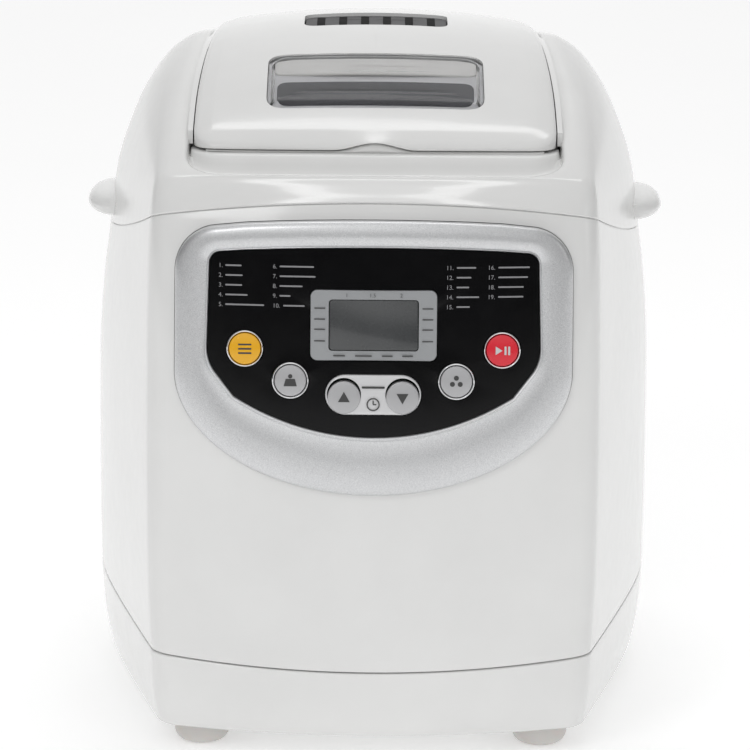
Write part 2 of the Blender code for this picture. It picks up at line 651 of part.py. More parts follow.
def lid():
    """The lid's cover with its window, vent and hinge knuckles, and the liner below."""
    cover = skin("lid_cover", [
        lid_ring(74.0, LID_WALL), lid_ring(45.0, LID_WALL), lid_ring(20.0, LID_WALL),
                               lid_ring(6.0, LID_WALL),
        lid_ring(LID_WALL, LID_WALL + 0.6), lid_ring(LID_WALL, 0, LID_RIM_Z), lid_ring(0.0, 0, LID_RIM_Z),
        lid_ring(0.0, 2.2), lid_ring(0.8, 0.8), lid_ring(2.4, 0.0), lid_ring(20.0, 0.0),
                               lid_ring(45.0, 0.0),
        lid_ring(74.0, 0.0)], "white_plastic")
    knuckles = []
    for side in (-1, 1):
        low, high = sorted((side * KNUCKLE_X[0], side * KNUCKLE_X[1]))
        knuckles.append(cylinder_along(f"knuckle_{side}", "x", KNUCKLE_R, low, high, (HINGE_Y, HINGE_Z),
                                       "white_plastic", 16))
        knuckles.append(block(f"knuckle_web_{side}", (low, LID_BACK - 1.2, HINGE_Z - 3.4),
                              (high, HINGE_Y - 1.0, HINGE_Z + 3.4),
                              "white_plastic"))
    join(cover, *knuckles)
    notch_z = LID_RIM_Z + NOTCH_RISE - NOTCH_R
    notch = cylinder_along("finger_notch", "y", NOTCH_R, LID_FRONT - 6, LID_FRONT + 7, (0.0, notch_z),
                           "white_plastic", 28)
    window_hole = skin("window_hole", [window_ring(GAP, z) for z in (LID_RIM_Z - 9, CREST_Z + 6)], "white_plastic")
    vent_hole = skin("vent_hole", [vent_ring(GAP, z) for z in (CREST_Z - 18, CREST_Z + 6)], "white_plastic")
    bore = cylinder_along("knuckle_bore", "x", HINGE_PIN_R + RUNNING, -72, 72, (HINGE_Y, HINGE_Z),
                          "white_plastic", 16)
    cut(cover, notch, window_hole, vent_hole, bore)
    pieces = [cover]

    glass = [window_ring(0.0, None, drop) for drop in (3.0, 0.6)]
    glass.append(window_ring(-1.2, None, 0.0))
    pieces.append(skin("lid_window", glass, "clear_plastic"))

    grille = skin("lid_vent_grille", [vent_ring(0.0, None, 5.0), vent_ring(0.0, None, 1.6)],
                  "dark_plastic")
    pitch = 2 * VENT_HALF / VENT_SLOTS * 0.93
    slots = []
    for i in range(VENT_SLOTS):
        x = (i - (VENT_SLOTS - 1) / 2) * pitch
        slots.append(block(f"vent_slot_{i}", (x - 2.1, VENT_Y[0] + 3, 296), (x + 2.1, VENT_Y[1] - 3, 320),
                           "dark_plastic"))
    cut(grille, *slots)
    pieces.append(grille)

    liner = skin("lid_liner", [
        rectangle(LINER_HALF, *LINER_Y, LINER_Z, 12.0).points(),
        rectangle(LINER_HALF, *LINER_Y, LINER_Z + LINER_SIDE, 12.0).points(),
        rectangle(LINER_HALF - SHEET, LINER_Y[0] + SHEET, LINER_Y[1] - SHEET, LINER_Z + LINER_SIDE,
                  11.0).points(),
        rectangle(LINER_HALF - SHEET, LINER_Y[0] + SHEET, LINER_Y[1] - SHEET, LINER_Z + SHEET,
                  11.0).points()],
        "steel")
    sight = skin("sight_hole", [rectangle(*SIGHT, z, 3.0).points() for z in (262.0, 288.0)], "steel")
    steam = [block(f"steam_slot_{i}", (-30, y - 2, 262), (30, y + 2, 288), "steel") for i,
             y in enumerate((4.0, 13.0, 22.0))]
    cut(liner, sight, *steam)
    pieces.append(liner)
    half, y_low, y_high = SIGHT
    pieces.append(skin("lid_inner_glass", [rectangle(half - GAP, y_low + GAP, y_high - GAP, z,
                                                     3.0).points()
                                           for z in (LINER_Z - 0.6, LINER_Z + SHEET + 1.2)],
                       "clear_plastic"))

    seal_low, seal_high = LEDGE_Z + GAP, LINER_Z + 2.4
    seal = [(LINER_HALF + GAP, LINER_Y[0] - GAP, LINER_Y[1] + GAP, z) for z in (seal_low, seal_high)]
    wide = SEAL_WIDE
    rings = [rectangle(h + g, a - g, b + g, z, 12.0 + g).points() for (h, a, b, z), g in
             ((seal[0], wide), (seal[1], wide), (seal[1], 0.0), (seal[0], 0.0))]
    pieces.append(skin("lid_gasket", rings, "silicone", loop=True))
    on_joint("lid_hinge", (0, HINGE_Y, HINGE_Z), *pieces)
    for side, name in ((-1, "hinge_pin_left"), (1, "hinge_pin_right")):
        low, high = sorted((side * (HINGE_EARS[0] - 1.0), side * (HINGE_EARS[1] + EAR_THICK + 1.0)))
        cylinder_along(name, "x", HINGE_PIN_R, low, high, (HINGE_Y, HINGE_Z), "steel", 14)


KNUCKLE_X = (51.6, 64.9)
KNUCKLE_R = 4.4
LINER_HALF = 66.4
LINER_Y = (-88.0, 100.0)
LINER_Z = 273.0
LINER_SIDE = 5.0
SIGHT = (42.0, -82.0, -50.0)
SEAL_WIDE = 3.0


def window_ring(grow, z, drop=0.0):
    y0, y1 = WINDOW_Y
    ring = rectangle(WINDOW_HALF + grow, y0 - grow, y1 + grow, 0.0, 9.0 + grow)
    return [(x, y, z if z is not None else lid_height(x, y) - drop) for x, y, _ in ring.points()]


def vent_ring(grow, z, drop=0.0):
    y0, y1 = VENT_Y
    ring = rectangle(VENT_HALF + grow, y0 - grow, y1 + grow, 0.0, 6.0 + grow)
    return [(x, y, z if z is not None else lid_height(x, y) - drop) for x, y, _ in ring.points()]


# ---------------------------------------------------------------- baking chamber and pan
def round_hole(radius, z, count):
    """A circle with as many points as a ring, to start or end a floor at."""
    start = math.radians(-135)
    turns = [start + 2 * math.pi * i / count for i in range(count)]
    return [(radius * math.cos(a), CAVITY_Y + radius * math.sin(a), z) for a in turns]


def centred(half, z, radius):
    return rectangle(half[0], CAVITY_Y - half[1], CAVITY_Y + half[1], z, radius)


def chamber():
    """The steel oven box with its flange, heater, temperature probe, seat and clips."""
    outer = tuple(h + SHEET for h in CHAMBER_HALF)
    flange = tuple(h + 9.0 for h in CHAMBER_HALF)
    top = CHAMBER_TOP_Z
    count = len(centred(outer, 0, 10).points())
    box = skin("baking_chamber", [
        round_hole(BUSH_R + GAP, CHAMBER_FLOOR_Z, count),
        centred((outer[0] - 4, outer[1] - 4), CHAMBER_FLOOR_Z, 10).points(),
        centred(outer, CHAMBER_FLOOR_Z + 4, 12).points(), centred(outer, top - SHEET, 12).points(),
        centred(flange, top - SHEET, 16).points(), centred(flange, top, 16).points(),
        centred(CHAMBER_HALF, top, 11).points(), centred(CHAMBER_HALF, CHAMBER_FLOOR_Z + 5.2,
                                                         11).points(),
        centred((outer[0] - 5, outer[1] - 5), CHAMBER_FLOOR_Z + SHEET, 9).points(),
        round_hole(BUSH_R + GAP, CHAMBER_FLOOR_Z + SHEET, count)], "steel", loop=True)
    back_wall = CAVITY_Y + CHAMBER_HALF[1]
    front_wall = CAVITY_Y - CHAMBER_HALF[1]
    holes = [block("heater_window", (-BLOCK_HALF[0] - GAP, back_wall - 8, HEATER_Z - BLOCK_HALF[1] - GAP),
                   (BLOCK_HALF[0] + GAP, back_wall + 8, HEATER_Z + BLOCK_HALF[1] + GAP), "steel")]
    holes.append(cylinder_along("probe_hole", "y", PROBE_R + GAP, front_wall - 8, front_wall + 8,
                                (0, PROBE_Z), "steel", 12))
    cut(box, *holes)

    tube("heating_element", heater_route(back_wall), HEATER_R, "steel", 3)
    terminal = block("heater_terminal_block", (-BLOCK_HALF[0], back_wall - 5.0, HEATER_Z - BLOCK_HALF[1]),
                     (BLOCK_HALF[0], back_wall + 6.0, HEATER_Z + BLOCK_HALF[1]), "ceramic", 1.0)
    cut(terminal, *[cylinder_along(f"terminal_bore_{i}", "y", HEATER_R + GAP, back_wall - 8,
                                   back_wall + 9, (x, HEATER_Z),
                                   "ceramic", 14) for i, x in enumerate((-HEATER_GAP, HEATER_GAP))])
    cylinder_along("temperature_probe", "y", PROBE_R, front_wall - 12.0, front_wall + 8.0, (0, PROBE_Z),
                   "brass", 12)

    seat_low = CHAMBER_FLOOR_Z + SHEET + GAP
    turned("pan_seat", [(SEAT_R, seat_low), (SEAT_R, seat_low + 2), (SEAT_R - 6, seat_low + 3),
                        (SEAT_R - 6.5, SEAT_TOP),
                        (SEAT_R - 9, SEAT_TOP), (SEAT_R - 9, seat_low + 2.4),
                        (BUSH_R + 2.0, seat_low + 2.4),
                        (BUSH_R + 2.0, seat_low)], "cast_aluminium", (0, CAVITY_Y), 24, loop=True)
    for side, name in ((-1, "pan_clip_left"), (1, "pan_clip_right")):
        clip = [(52.6, seat_low), (56.5, seat_low), (56.5, 63.0), (57.6, 69.0), (56.9, 70.2),
                (56.2, 69.6), (55.3, 63.0),
                (55.3, seat_low + 1.2), (52.6, seat_low + 1.2)]
        skin(name, [[(side * x, CAVITY_Y + y, z) for x, z in clip] for y in (-9.0, 9.0)], "steel")


BUSH_R = 8.0
BLOCK_HALF = (22.0, 6.5)
HEATER_R = 3.2
HEATER_Z = CHAMBER_FLOOR_Z + 16.5
HEATER_GAP = 14.0
HEATER_HALF = (66.5, 86.5)
PROBE_R = 2.6
PROBE_Z = 118.0
SEAT_R = 50.0
SEAT_TOP = CHAMBER_FLOOR_Z + 13.0


def heater_route(back_wall):
    """The tubular heater: in through the back wall, once round the pan, and out again."""
    half_x, half_y = HEATER_HALF
    turn = 20.0
    end_y = CAVITY_Y + half_y
    half = [(HEATER_GAP, back_wall + 14.0), (HEATER_GAP, back_wall - 6.0),
            (HEATER_GAP + 1.5, end_y - 1.0),
            (HEATER_GAP + 5.5, end_y - 5.0), (HEATER_GAP + 12, end_y - 5.5)]
    half += arc((half_x - turn, end_y - 5.5 - turn), (turn, turn), 90, 0, 5)
    half += arc((half_x - turn, CAVITY_Y - half_y + turn), (turn, turn), 0, -90, 5)
    right = [(x, y, HEATER_Z) for x, y in half]
    return right + [(-x, y, z) for x, y, z in reversed(right)]


def tube(name, route, radius, finish, resolution, pivot=(0, 0, 0)):
    """A rod bent along a route of points."""
    data = bpy.data.curves.new(name, "CURVE")
    data.dimensions = "3D"
    data.bevel_depth = radius * MM
    data.bevel_resolution = resolution
    data.use_fill_caps = True
    line = data.splines.new("POLY")
    line.points.add(len(route) - 1)
    for point, at in zip(line.points, route):
        point.co = (*((a - b) * MM for a, b in zip(at, pivot)), 1.0)
    made = bpy.data.objects.new(name, data)
    made.location = Vector(pivot) * MM
    bpy.context.scene.collection.objects.link(made)
    data.materials.append(material(finish))
    return made


def bread_pan():
    """The pan with its base ring, shaft, seal, paddle and bail handle."""
    rim, floor = PAN_RIM_HALF, PAN_FLOOR_HALF
    inner_rim, inner_floor = tuple(h - PAN_WALL for h in rim), tuple(h - PAN_WALL for h in floor)
    count = len(centred(rim, 0, 10).points())
    pan = skin("bread_pan", [
        round_hole(PAN_BORE, PAN_FLOOR_Z, count), centred((floor[0] - 5, floor[1] - 5), PAN_FLOOR_Z,
                                                          12).points(),
        centred(floor, PAN_FLOOR_Z + 6, 15).points(), centred(rim, PAN_RIM_Z - 4, 18).points(),
        centred((rim[0] + 2.2, rim[1] + 2.2), PAN_RIM_Z - 3, 20).points(),
        centred((rim[0] + 2.2, rim[1] + 2.2), PAN_RIM_Z - 0.6, 20).points(),
        centred((rim[0] + 1.2, rim[1] + 1.2), PAN_RIM_Z, 19).points(),
                             centred(inner_rim, PAN_RIM_Z, 17).points(),
        centred(inner_floor, PAN_FLOOR_Z + 7, 14).points(),
        centred((floor[0] - 8, floor[1] - 8), PAN_FLOOR_Z + PAN_WALL, 10).points(),
        round_hole(PAN_BORE, PAN_FLOOR_Z + PAN_WALL, count)], "nonstick", loop=True)
    lugs = []
    for side in (-1, 1):
        wall = CAVITY_Y + side * (rim[1] - 1.2)
        end = CAVITY_Y + side * (rim[1] + 1.9)
        low, high = sorted((wall, end))
        lugs.append(block(f"handle_lug_{side}", (-8.0, low, HANDLE_PIVOT_Z - 8.0),
                          (8.0, high, HANDLE_PIVOT_Z + 5.0),
                          "nonstick", 0.8))
    join(pan, *lugs)
    stub_low, stub_high = rim[1] - 0.6, rim[1] + 8.0
    sockets = [cylinder_along(f"lug_bore_{i}", "y", HANDLE_R + RUNNING,
                              *sorted((CAVITY_Y + s * stub_low, CAVITY_Y + s * stub_high)),
                              (0.0, HANDLE_PIVOT_Z), "nonstick", 14) for i, s in enumerate((-1, 1))]
    cut(pan, *sockets)

    turned("pan_base_ring", [(38.0, PAN_BASE_LOW), (40.5, PAN_BASE_LOW + 1.5), (40.5, PAN_FLOOR_Z - 2.0),
                             (44.0, PAN_FLOOR_Z - GAP), (9.0, PAN_FLOOR_Z - GAP),
                             (9.0, PAN_FLOOR_Z - 7.0),
                             (11.5, PAN_FLOOR_Z - 7.0), (13.0, PAN_FLOOR_Z - 2.6),
                             (36.0, PAN_FLOOR_Z - 2.6),
                             (37.0, PAN_BASE_LOW)], "cast_aluminium", (0, CAVITY_Y), 24, loop=True)
    handle_end = rim[1] + 0.6
    bar_y = rim[1] + 5.6
    reach = HANDLE_REACH
    half = [(0.0, -handle_end), (0.0, -bar_y + 2.0), (0.8, -bar_y + 0.6), (2.2, -bar_y),
            (reach - 12, -bar_y),
            (reach - 5.5, -bar_y + 1.6), (reach - 1.6, -bar_y + 5.5), (reach, -bar_y + 12.0)]
    route = [(x, CAVITY_Y + y, HANDLE_PIVOT_Z) for x, y in half]
    route += [(x, CAVITY_Y - y, HANDLE_PIVOT_Z) for x, y in reversed(half)]
    tube("pan_handle", route, HANDLE_R, "steel", 2, pivot=(0, CAVITY_Y, HANDLE_PIVOT_Z))

    shaft_low = PAN_FLOOR_Z - 12.0
    shaft = turned("pan_shaft", [(7.5, shaft_low), (7.5, shaft_low + 4.6), (SHAFT_R, shaft_low + 4.6),
                                 (SHAFT_R, PADDLE_Z[1] - 3.0), (SHAFT_R - 1.0, PADDLE_Z[1] - 2.0)],
                   "steel", (0, CAVITY_Y), 20)
    join(shaft, *[block(f"dog_wing_{s}", (min(s * 5, s * 16), CAVITY_Y - 2.6, shaft_low + 0.4),
                        (max(s * 5, s * 16), CAVITY_Y + 2.6, shaft_low + 4.2), "steel", 0.5)
                  for s in (-1, 1)])
    turned("pan_shaft_seal", [(SHAFT_R + RUNNING, PAN_FLOOR_Z - 6.0), (8.4, PAN_FLOOR_Z - 6.0),
                              (8.4, PAN_FLOOR_Z - 1.0),
                              (PAN_BORE - GAP, PAN_FLOOR_Z - 1.0),
                              (PAN_BORE - GAP, PAN_FLOOR_Z + PAN_WALL + 0.8),
                              (SHAFT_R + RUNNING, PAN_FLOOR_Z + PAN_WALL + 0.8)], "rubber", (0, CAVITY_Y),
           20, loop=True)
    low, high = PADDLE_Z
    paddle = turned("kneading_paddle", [(SHAFT_R + GAP, low), (10.0, low), (10.0, low + 4),
                                        (8.0, high - 4), (7.0, high),
                                        (SHAFT_R + GAP, high)], "nonstick", (0, CAVITY_Y), 20, loop=True)
    blade = [(6.0, 0.6), (44.0, 0.6), (46.0, 3.0), (44.0, 14.0), (34.0, 27.0), (26.0, 31.0), (19.0, 29.0),
             (11.0, 20.0), (6.0, 16.0)]
    join(paddle, skin("paddle_blade", [[(x, CAVITY_Y + y - 0.04 * x, low + z) for x, z in blade]
                                       for y in (-1.6, 1.6)], "nonstick"))


PAN_BORE = 6.6
PAN_BASE_LOW = CHAMBER_FLOOR_Z + SHEET + 2.4 + 2 * GAP
HANDLE_R = 1.9
PADDLE_Z = (PAN_FLOOR_Z + PAN_WALL + 1.4, PAN_FLOOR_Z + PAN_WALL + 21.0)


# ---------------------------------------------------------------- drive and electrics
def belt_line(grow, steps=12):
    """The loop round both pulleys, grow outside them."""
    big, small = BIG_PULLEY_R + grow, SMALL_PULLEY_R + grow
    span = CAVITY_Y - MOTOR_Y
    tilt = math.degrees(math.asin((big - small) / span))
    found = arc((0, CAVITY_Y), (big, big), -tilt, 180 + tilt, steps * 2)
    return found + arc((0, MOTOR_Y), (small, small), 180 + tilt, 360 - tilt, steps)


def drive():
    """Motor, belt and the shaft that turns the paddle, on their steel frame."""
    frame = block("bottom_frame", (-52, -151, FRAME_Z), (52, 112, FRAME_Z + 2.0), "steel")
    posts = [block(f"frame_post_{i}", (x - 4, y - 4, BASE_Z + WALL + 0.6), (x + 4, y + 4, FRAME_Z + 1.0),
                   "steel")
             for i, (x, y) in enumerate(((-44, -144), (44, -144), (-44, 104), (44, 104)))]
    join(frame, *posts)
    shaft_hole = turned("frame_bush_hole", [(BUSH_R - 1.5 + GAP, 20), (BUSH_R - 1.5 + GAP, 50)], "steel",
                        (0, CAVITY_Y), 20)
    rotor_hole = turned("frame_rotor_hole", [(7.0, 20), (7.0, 50)], "steel", (0, MOTOR_Y), 20)
    cut(frame, shaft_hole, rotor_hole)
    low = FRAME_Z + 2.0 + GAP
    turned("shaft_bush", [(SHAFT_R + RUNNING, FRAME_Z - 1.5), (BUSH_R - 1.5, FRAME_Z - 1.5),
                          (BUSH_R - 1.5, low),
                          (BUSH_R, low), (BUSH_R, CHAMBER_FLOOR_Z + 2.0),
                          (SHAFT_R + RUNNING, CHAMBER_FLOOR_Z + 2.0)],
           "brass", (0, CAVITY_Y), 20, loop=True)
    z0, z1 = PULLEY_Z
    low, high = COUPLER_Z
    shaft = turned("drive_shaft", [(SHAFT_R - 0.8, z0 - 2.5), (SHAFT_R, z0 - 1.7), (SHAFT_R, low),
                                   (12.0, low),
                                   (12.0, low + 2.4)], "steel", (0, CAVITY_Y), 20)
    join(shaft, *[block(f"coupler_lug_{s}", (-5.0, min(CAVITY_Y + s * 8.2, CAVITY_Y + s * 11.6), low + 1),
                        (5.0, max(CAVITY_Y + s * 8.2, CAVITY_Y + s * 11.6), high), "steel", 0.5)
                  for s in (-1, 1)])
    turned("drive_pulley", [(SHAFT_R + GAP, z0 - 1), (10.0, z0 - 1), (11.0, z0 + 3),
                            (BIG_PULLEY_R - 6, z0 + 3), (BIG_PULLEY_R - 4, z0),
                                     (BIG_PULLEY_R, z0), (BIG_PULLEY_R, z1), (BIG_PULLEY_R - 4, z1),
                            (BIG_PULLEY_R - 6, z0 + 6),
                                     (11.0, z0 + 6), (10.0, z1 + 1), (SHAFT_R + GAP, z1 + 1)],
           "dark_plastic", (0, CAVITY_Y), 40, loop=True)

    belt_outer, belt_inner = belt_line(0.4 + 1.6), belt_line(0.4)
    rings = [[(x, y, z) for x, y in line] for line, z in ((belt_outer, z0 + 1.5), (belt_outer, z1 - 1.5),
                                                          (belt_inner, z1 - 1.5), (belt_inner, z0 + 1.5))]
    skin("drive_belt", rings, "rubber", loop=True)

    centre = (0, MOTOR_Y)
    stack = FRAME_Z + 2.0 + 16.0
    stator = block("motor_stator", (-31, MOTOR_Y - 30, stack), (31, MOTOR_Y + 30, stack + 34), "steel",
                   3.0)
    cut(stator, turned("stator_bore", [(16.0, stack - 5), (16.0, stack + 45)], "steel", centre, 24))
    bell_low = FRAME_Z + 2.0 + GAP
    turned("motor_lower_bell", [(SHAFT_R + RUNNING, bell_low), (25.0, bell_low), (28.0, stack - GAP),
                                (24.0, stack - GAP),
                                (22.0, bell_low + 2.5), (SHAFT_R + RUNNING, bell_low + 2.5)],
           "cast_aluminium", centre, 24, loop=True)
    top = stack + 34 + GAP
    turned("motor_upper_bell", [(28.0, top), (25.0, top + 13), (SHAFT_R + RUNNING, top + 13),
                                (SHAFT_R + RUNNING, top + 10.5),
                                (22.0, top + 10.5), (24.0, top)], "cast_aluminium", centre, 24, loop=True)
    turned("motor_rotor", [(SHAFT_R - 0.8, z0 - 2.5), (SHAFT_R, z0 - 1.7), (SHAFT_R, stack + 1),
                           (15.2, stack + 2),
                           (15.2, stack + 32), (SHAFT_R, stack + 33), (SHAFT_R, top + 26.0)], "steel",
           centre, 20)
    turned("motor_pulley", [(SHAFT_R + GAP, z0 - 0.5), (SMALL_PULLEY_R + 2, z0 - 0.5),
                            (SMALL_PULLEY_R + 2, z0 + 0.6), (SMALL_PULLEY_R, z0 + 1.0),
                            (SMALL_PULLEY_R, z1 - 1.0), (SMALL_PULLEY_R + 2, z1 - 0.6),
                            (SMALL_PULLEY_R + 2, z1 + 0.5), (SHAFT_R + GAP, z1 + 0.5)],
           "steel", centre, 24, loop=True)
    fan_z = top + 17.0
    fan = turned("motor_fan", [(SHAFT_R + GAP, fan_z), (9.0, fan_z), (9.0, fan_z + 7),
                               (SHAFT_R + GAP, fan_z + 7)], "dark_plastic", centre, 20, loop=True)
    blades = []
    for i in range(FAN_BLADES):
        turn = math.radians(360 / FAN_BLADES * i)
        a, b = math.cos(turn), math.sin(turn)
        shape = [(8.0, -1.0), (25.0, -1.0), (25.0, 1.0), (8.0, 1.0)]
        blades.append(skin(f"fan_blade_{i}", [[(a * r - b * (s + k), MOTOR_Y + b * r + a * (s + k),
                                                fan_z + h) for r, s in shape]
                                              for h, k in ((0.8, -1.6), (6.2, 1.6))], "dark_plastic"))
    join(fan, *blades)


COUPLER_Z = (CHAMBER_FLOOR_Z + 4.6, CHAMBER_FLOOR_Z + 14.0)
FAN_BLADES = 6


def electrics():
    board = block("power_board", (-94.0, -62.0, 70.0), (-92.4, 30.0, 150.0), "circuit_board")
    join(board, block("transformer", (-106.0, -56.0, 76.0), (-93.0, -30.0, 104.0), "circuit_board", 1.0))
    block("motor_capacitor", (36.0, -146.0, FRAME_Z + 2.0 + GAP), (51.0, -104.0, FRAME_Z + 34.0),
          "dark_plastic", 1.5)
    face = gland_wall_y()
    cylinder_profile = [(3.8, face - 8.0), (6.2, face - 8.0), (6.2, face + 0.3), (8.6, face + 0.3),
                        (8.6, face + 2.0),
                        (6.4, face + 2.6), (5.6, GLAND_END), (3.8, GLAND_END)]
    rings = [[(GLAND_X + r * math.sin(a), y, GLAND_Z + r * math.cos(a))
              for a in (2 * math.pi * i / 20 for i in range(20))]
             for r, y in cylinder_profile]
    skin("cord_gland", rings, "dark_plastic", loop=True)


def gland_wall_y():
    """Where the back wall's outer face is at the gland, at its furthest back."""
    return max(r.back_edge(GLAND_X - 8.6)[1] for r in (LOW_SEAM, BELLY[0])) + 0.4


def feet():
    for place, (x, y) in FOOT_PLACES.items():
        turned(f"foot_{place}", [(6.5, 0.0), (9.6, 0.9), (11.6, 2.8), (FOOT_R, 5.4),
                                 (FOOT_R, BASE_Z - GAP)], "foot_plastic",
               (x, y), 18)


def clear_scene():
    for old in list(bpy.data.objects):
        bpy.data.objects.remove(old, do_unlink=True)


def main():
    clear_scene()
    housing_shells()
    side_grips()
    control_panel()
    lid()
    chamber()
    bread_pan()
    drive()
    electrics()
    feet()


main()
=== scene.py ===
"""Looks of the bread machine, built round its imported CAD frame, in millimetres unless said otherwise."""

import json
import math
from dataclasses import dataclass, replace

import bmesh
import bpy
from mathutils import Matrix, Vector


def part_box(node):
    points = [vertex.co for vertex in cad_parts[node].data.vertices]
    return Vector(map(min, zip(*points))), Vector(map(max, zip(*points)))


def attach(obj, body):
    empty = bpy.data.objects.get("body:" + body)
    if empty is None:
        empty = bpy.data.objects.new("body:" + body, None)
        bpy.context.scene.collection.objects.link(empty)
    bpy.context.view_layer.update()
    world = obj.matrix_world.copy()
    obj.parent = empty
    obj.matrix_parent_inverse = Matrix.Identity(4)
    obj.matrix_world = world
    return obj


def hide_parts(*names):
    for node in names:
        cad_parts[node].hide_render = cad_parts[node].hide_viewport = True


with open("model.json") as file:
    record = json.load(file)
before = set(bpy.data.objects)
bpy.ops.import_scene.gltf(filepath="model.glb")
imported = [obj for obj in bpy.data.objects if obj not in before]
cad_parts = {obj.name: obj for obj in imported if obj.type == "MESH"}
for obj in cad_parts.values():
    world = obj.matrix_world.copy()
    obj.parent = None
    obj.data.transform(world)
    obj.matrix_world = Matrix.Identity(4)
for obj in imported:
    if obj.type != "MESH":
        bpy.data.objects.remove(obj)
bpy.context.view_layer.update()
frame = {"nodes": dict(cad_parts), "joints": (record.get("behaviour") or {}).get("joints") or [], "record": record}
NODES = frame["nodes"]
JOINTS = {joint["name"]: joint for joint in frame["joints"]}
MM = 0.001


def low(node):
    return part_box(node)[0] / MM


def high(node):
    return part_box(node)[1] / MM


# ---------------------------------------------------------------- sizes read from the frame
HALF_WIDTH = high("main_housing").x
HALF_DEPTH = -min(low("main_housing").y, -175.0)
BASE_Z = low("base_tray").z
LOW_SEAM_Z = high("base_tray").z + 0.6
TOP_SEAM_Z = high("main_housing").z
SIDE_SEAM_Z = low("upper_housing").z - 0.6
LID_HALF = 81.4
LID_FRONT = low("lid_cover").y
LID_RIM_Z = low("lid_cover").z
CREST_Z = high("lid_cover").z
HINGE = Vector(JOINTS["lid_hinge"]["pos_m"]) / MM
LEAN = math.asin(-JOINTS["menu_press"]["axis"][2])

# ---------------------------------------------------------------- shape values of the housing
SEAM_GAP = 0.6
SEAM_SHOWN = 0.35         # the gap that is seen at a seam, over a tongue that closes it
WALL = 2.6                # of the housing and the lid
BULGE_Y = 30.0            # where the sides are widest
SIDE_EASE = 50.0          # how softly they turn there
CREST_Y = 28.7
CREST_FALL = 0.001816
EDGE_FALL = (0.8, 7.5)              # how far the lid falls to its sides, at its front and behind its crest
NARROWING = (-75.0, 20.0, 0.025)    # where the lid and its well narrow, how softly, and half the slope
NOTCH_HALF, NOTCH_RISE = 18.5, 3.4   # the arch in the lid's front rim
LID_CORNER = 13.0
VENT_SLOTS = 6
PANEL_BOW_R = 344.0
LEDGE_Z = LID_RIM_Z - 1.3
MOUTH = (71.0, -94.0, 106.0)        # half width, front and back of the opening over the chamber
FRONT_STEPS, SIDE_STEPS, BACK_STEPS, CORNER_STEPS = 40, 44, 28, 7


# ---------------------------------------------------------------- mesh helpers
def make(name, mesh, body, finish, nodes=(), smooth_deg=32.0):
    """A shown piece from a mesh in millimetres, riding on body and standing for CAD nodes."""
    mesh.transform(Matrix.Scale(MM, 4))
    piece = bpy.data.objects.new(name, mesh)
    bpy.context.scene.collection.objects.link(piece)
    mesh.materials.append(finish)
    mesh.shade_smooth()
    mesh.set_sharp_from_angle(angle=math.radians(smooth_deg))
    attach(piece, body)
    if nodes:
        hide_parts(*nodes)
    return piece


def loft(rings, loop=False, capped=True):
    """A mesh through rings of equal length; a loop joins the last ring to the first."""
    bm = bmesh.new()
    verts = [[bm.verts.new(p) for p in ring] for ring in rings]
    pairs = list(zip(verts, verts[1:]))
    if loop:
        pairs.append((verts[-1], verts[0]))
    for one, two in pairs:
        count = len(one)
        for i in range(count):
            j = (i + 1) % count
            bm.faces.new((one[i], one[j], two[j], two[i]))
    if capped and not loop:
        bm.faces.new(verts[0][::-1])
        bm.faces.new(verts[-1])
    bmesh.ops.recalc_face_normals(bm, faces=bm.faces)
    mesh = bpy.data.meshes.new("loft")
    bm.to_mesh(mesh)
    bm.free()
    return mesh


def carve(mesh, cutters):
    """The mesh after the cutters are taken from it."""
    scene = bpy.context.scene
    base = bpy.data.objects.new("carve_base", mesh)
    scene.collection.objects.link(base)
    tools = []
    for cutter in cutters:
        tool = bpy.data.objects.new("carve_tool", cutter)
        scene.collection.objects.link(tool)
        tools.append(tool)
        change = base.modifiers.new("carve", "BOOLEAN")
        change.operation = "DIFFERENCE"
        change.solver = "EXACT"
        change.object = tool
    graph = bpy.context.evaluated_depsgraph_get()
    made = bpy.data.meshes.new_from_object(base.evaluated_get(graph))
    for extra in (base, *tools):
        bpy.data.objects.remove(extra)
    made.materials.clear()
    return made


def joined(meshes):
    """One mesh that holds all of these."""
    bm = bmesh.new()
    for mesh in meshes:
        bm.from_mesh(mesh)
    made = bpy.data.meshes.new("joined")
    bm.to_mesh(made)
    bm.free()
    return made


def arc(centre, radii, start, end, steps):
    """Points on an ellipse's arc, angles in degrees."""
    turns = [math.radians(start + (end - start) * i / steps) for i in range(steps + 1)]
    return [(centre[0] + radii[0] * math.cos(a), centre[1] + radii[1] * math.sin(a)) for a in turns]


def turned(profile, centre, count=64):
    """A round mesh about Z from (radius, z) points."""
    rings = []
    for r, z in profile:
        turns = [2 * math.pi * i / count for i in range(count)]
        rings.append([(centre[0] + r * math.cos(a), centre[1] + r * math.sin(a), z) for a in turns])
    return loft(rings)


def box_mesh(lo, hi, bevel=0.0):
    """A box between two corners, with its edges rounded by bevel."""
    bm = bmesh.new()
    bmesh.ops.create_cube(bm, size=1.0)
    size = [b - a for a, b in zip(lo, hi)]
    middle = [(a + b) / 2 for a, b in zip(lo, hi)]
    bmesh.ops.transform(bm, verts=bm.verts, matrix=Matrix.Translation(middle) @ Matrix.Diagonal((*size, 1)))
    if bevel:
        bmesh.ops.bevel(bm, geom=bm.edges, offset=bevel, segments=3, profile=0.5, affect="EDGES")
    mesh = bpy.data.meshes.new("box")
    bm.to_mesh(mesh)
    bm.free()
    return mesh


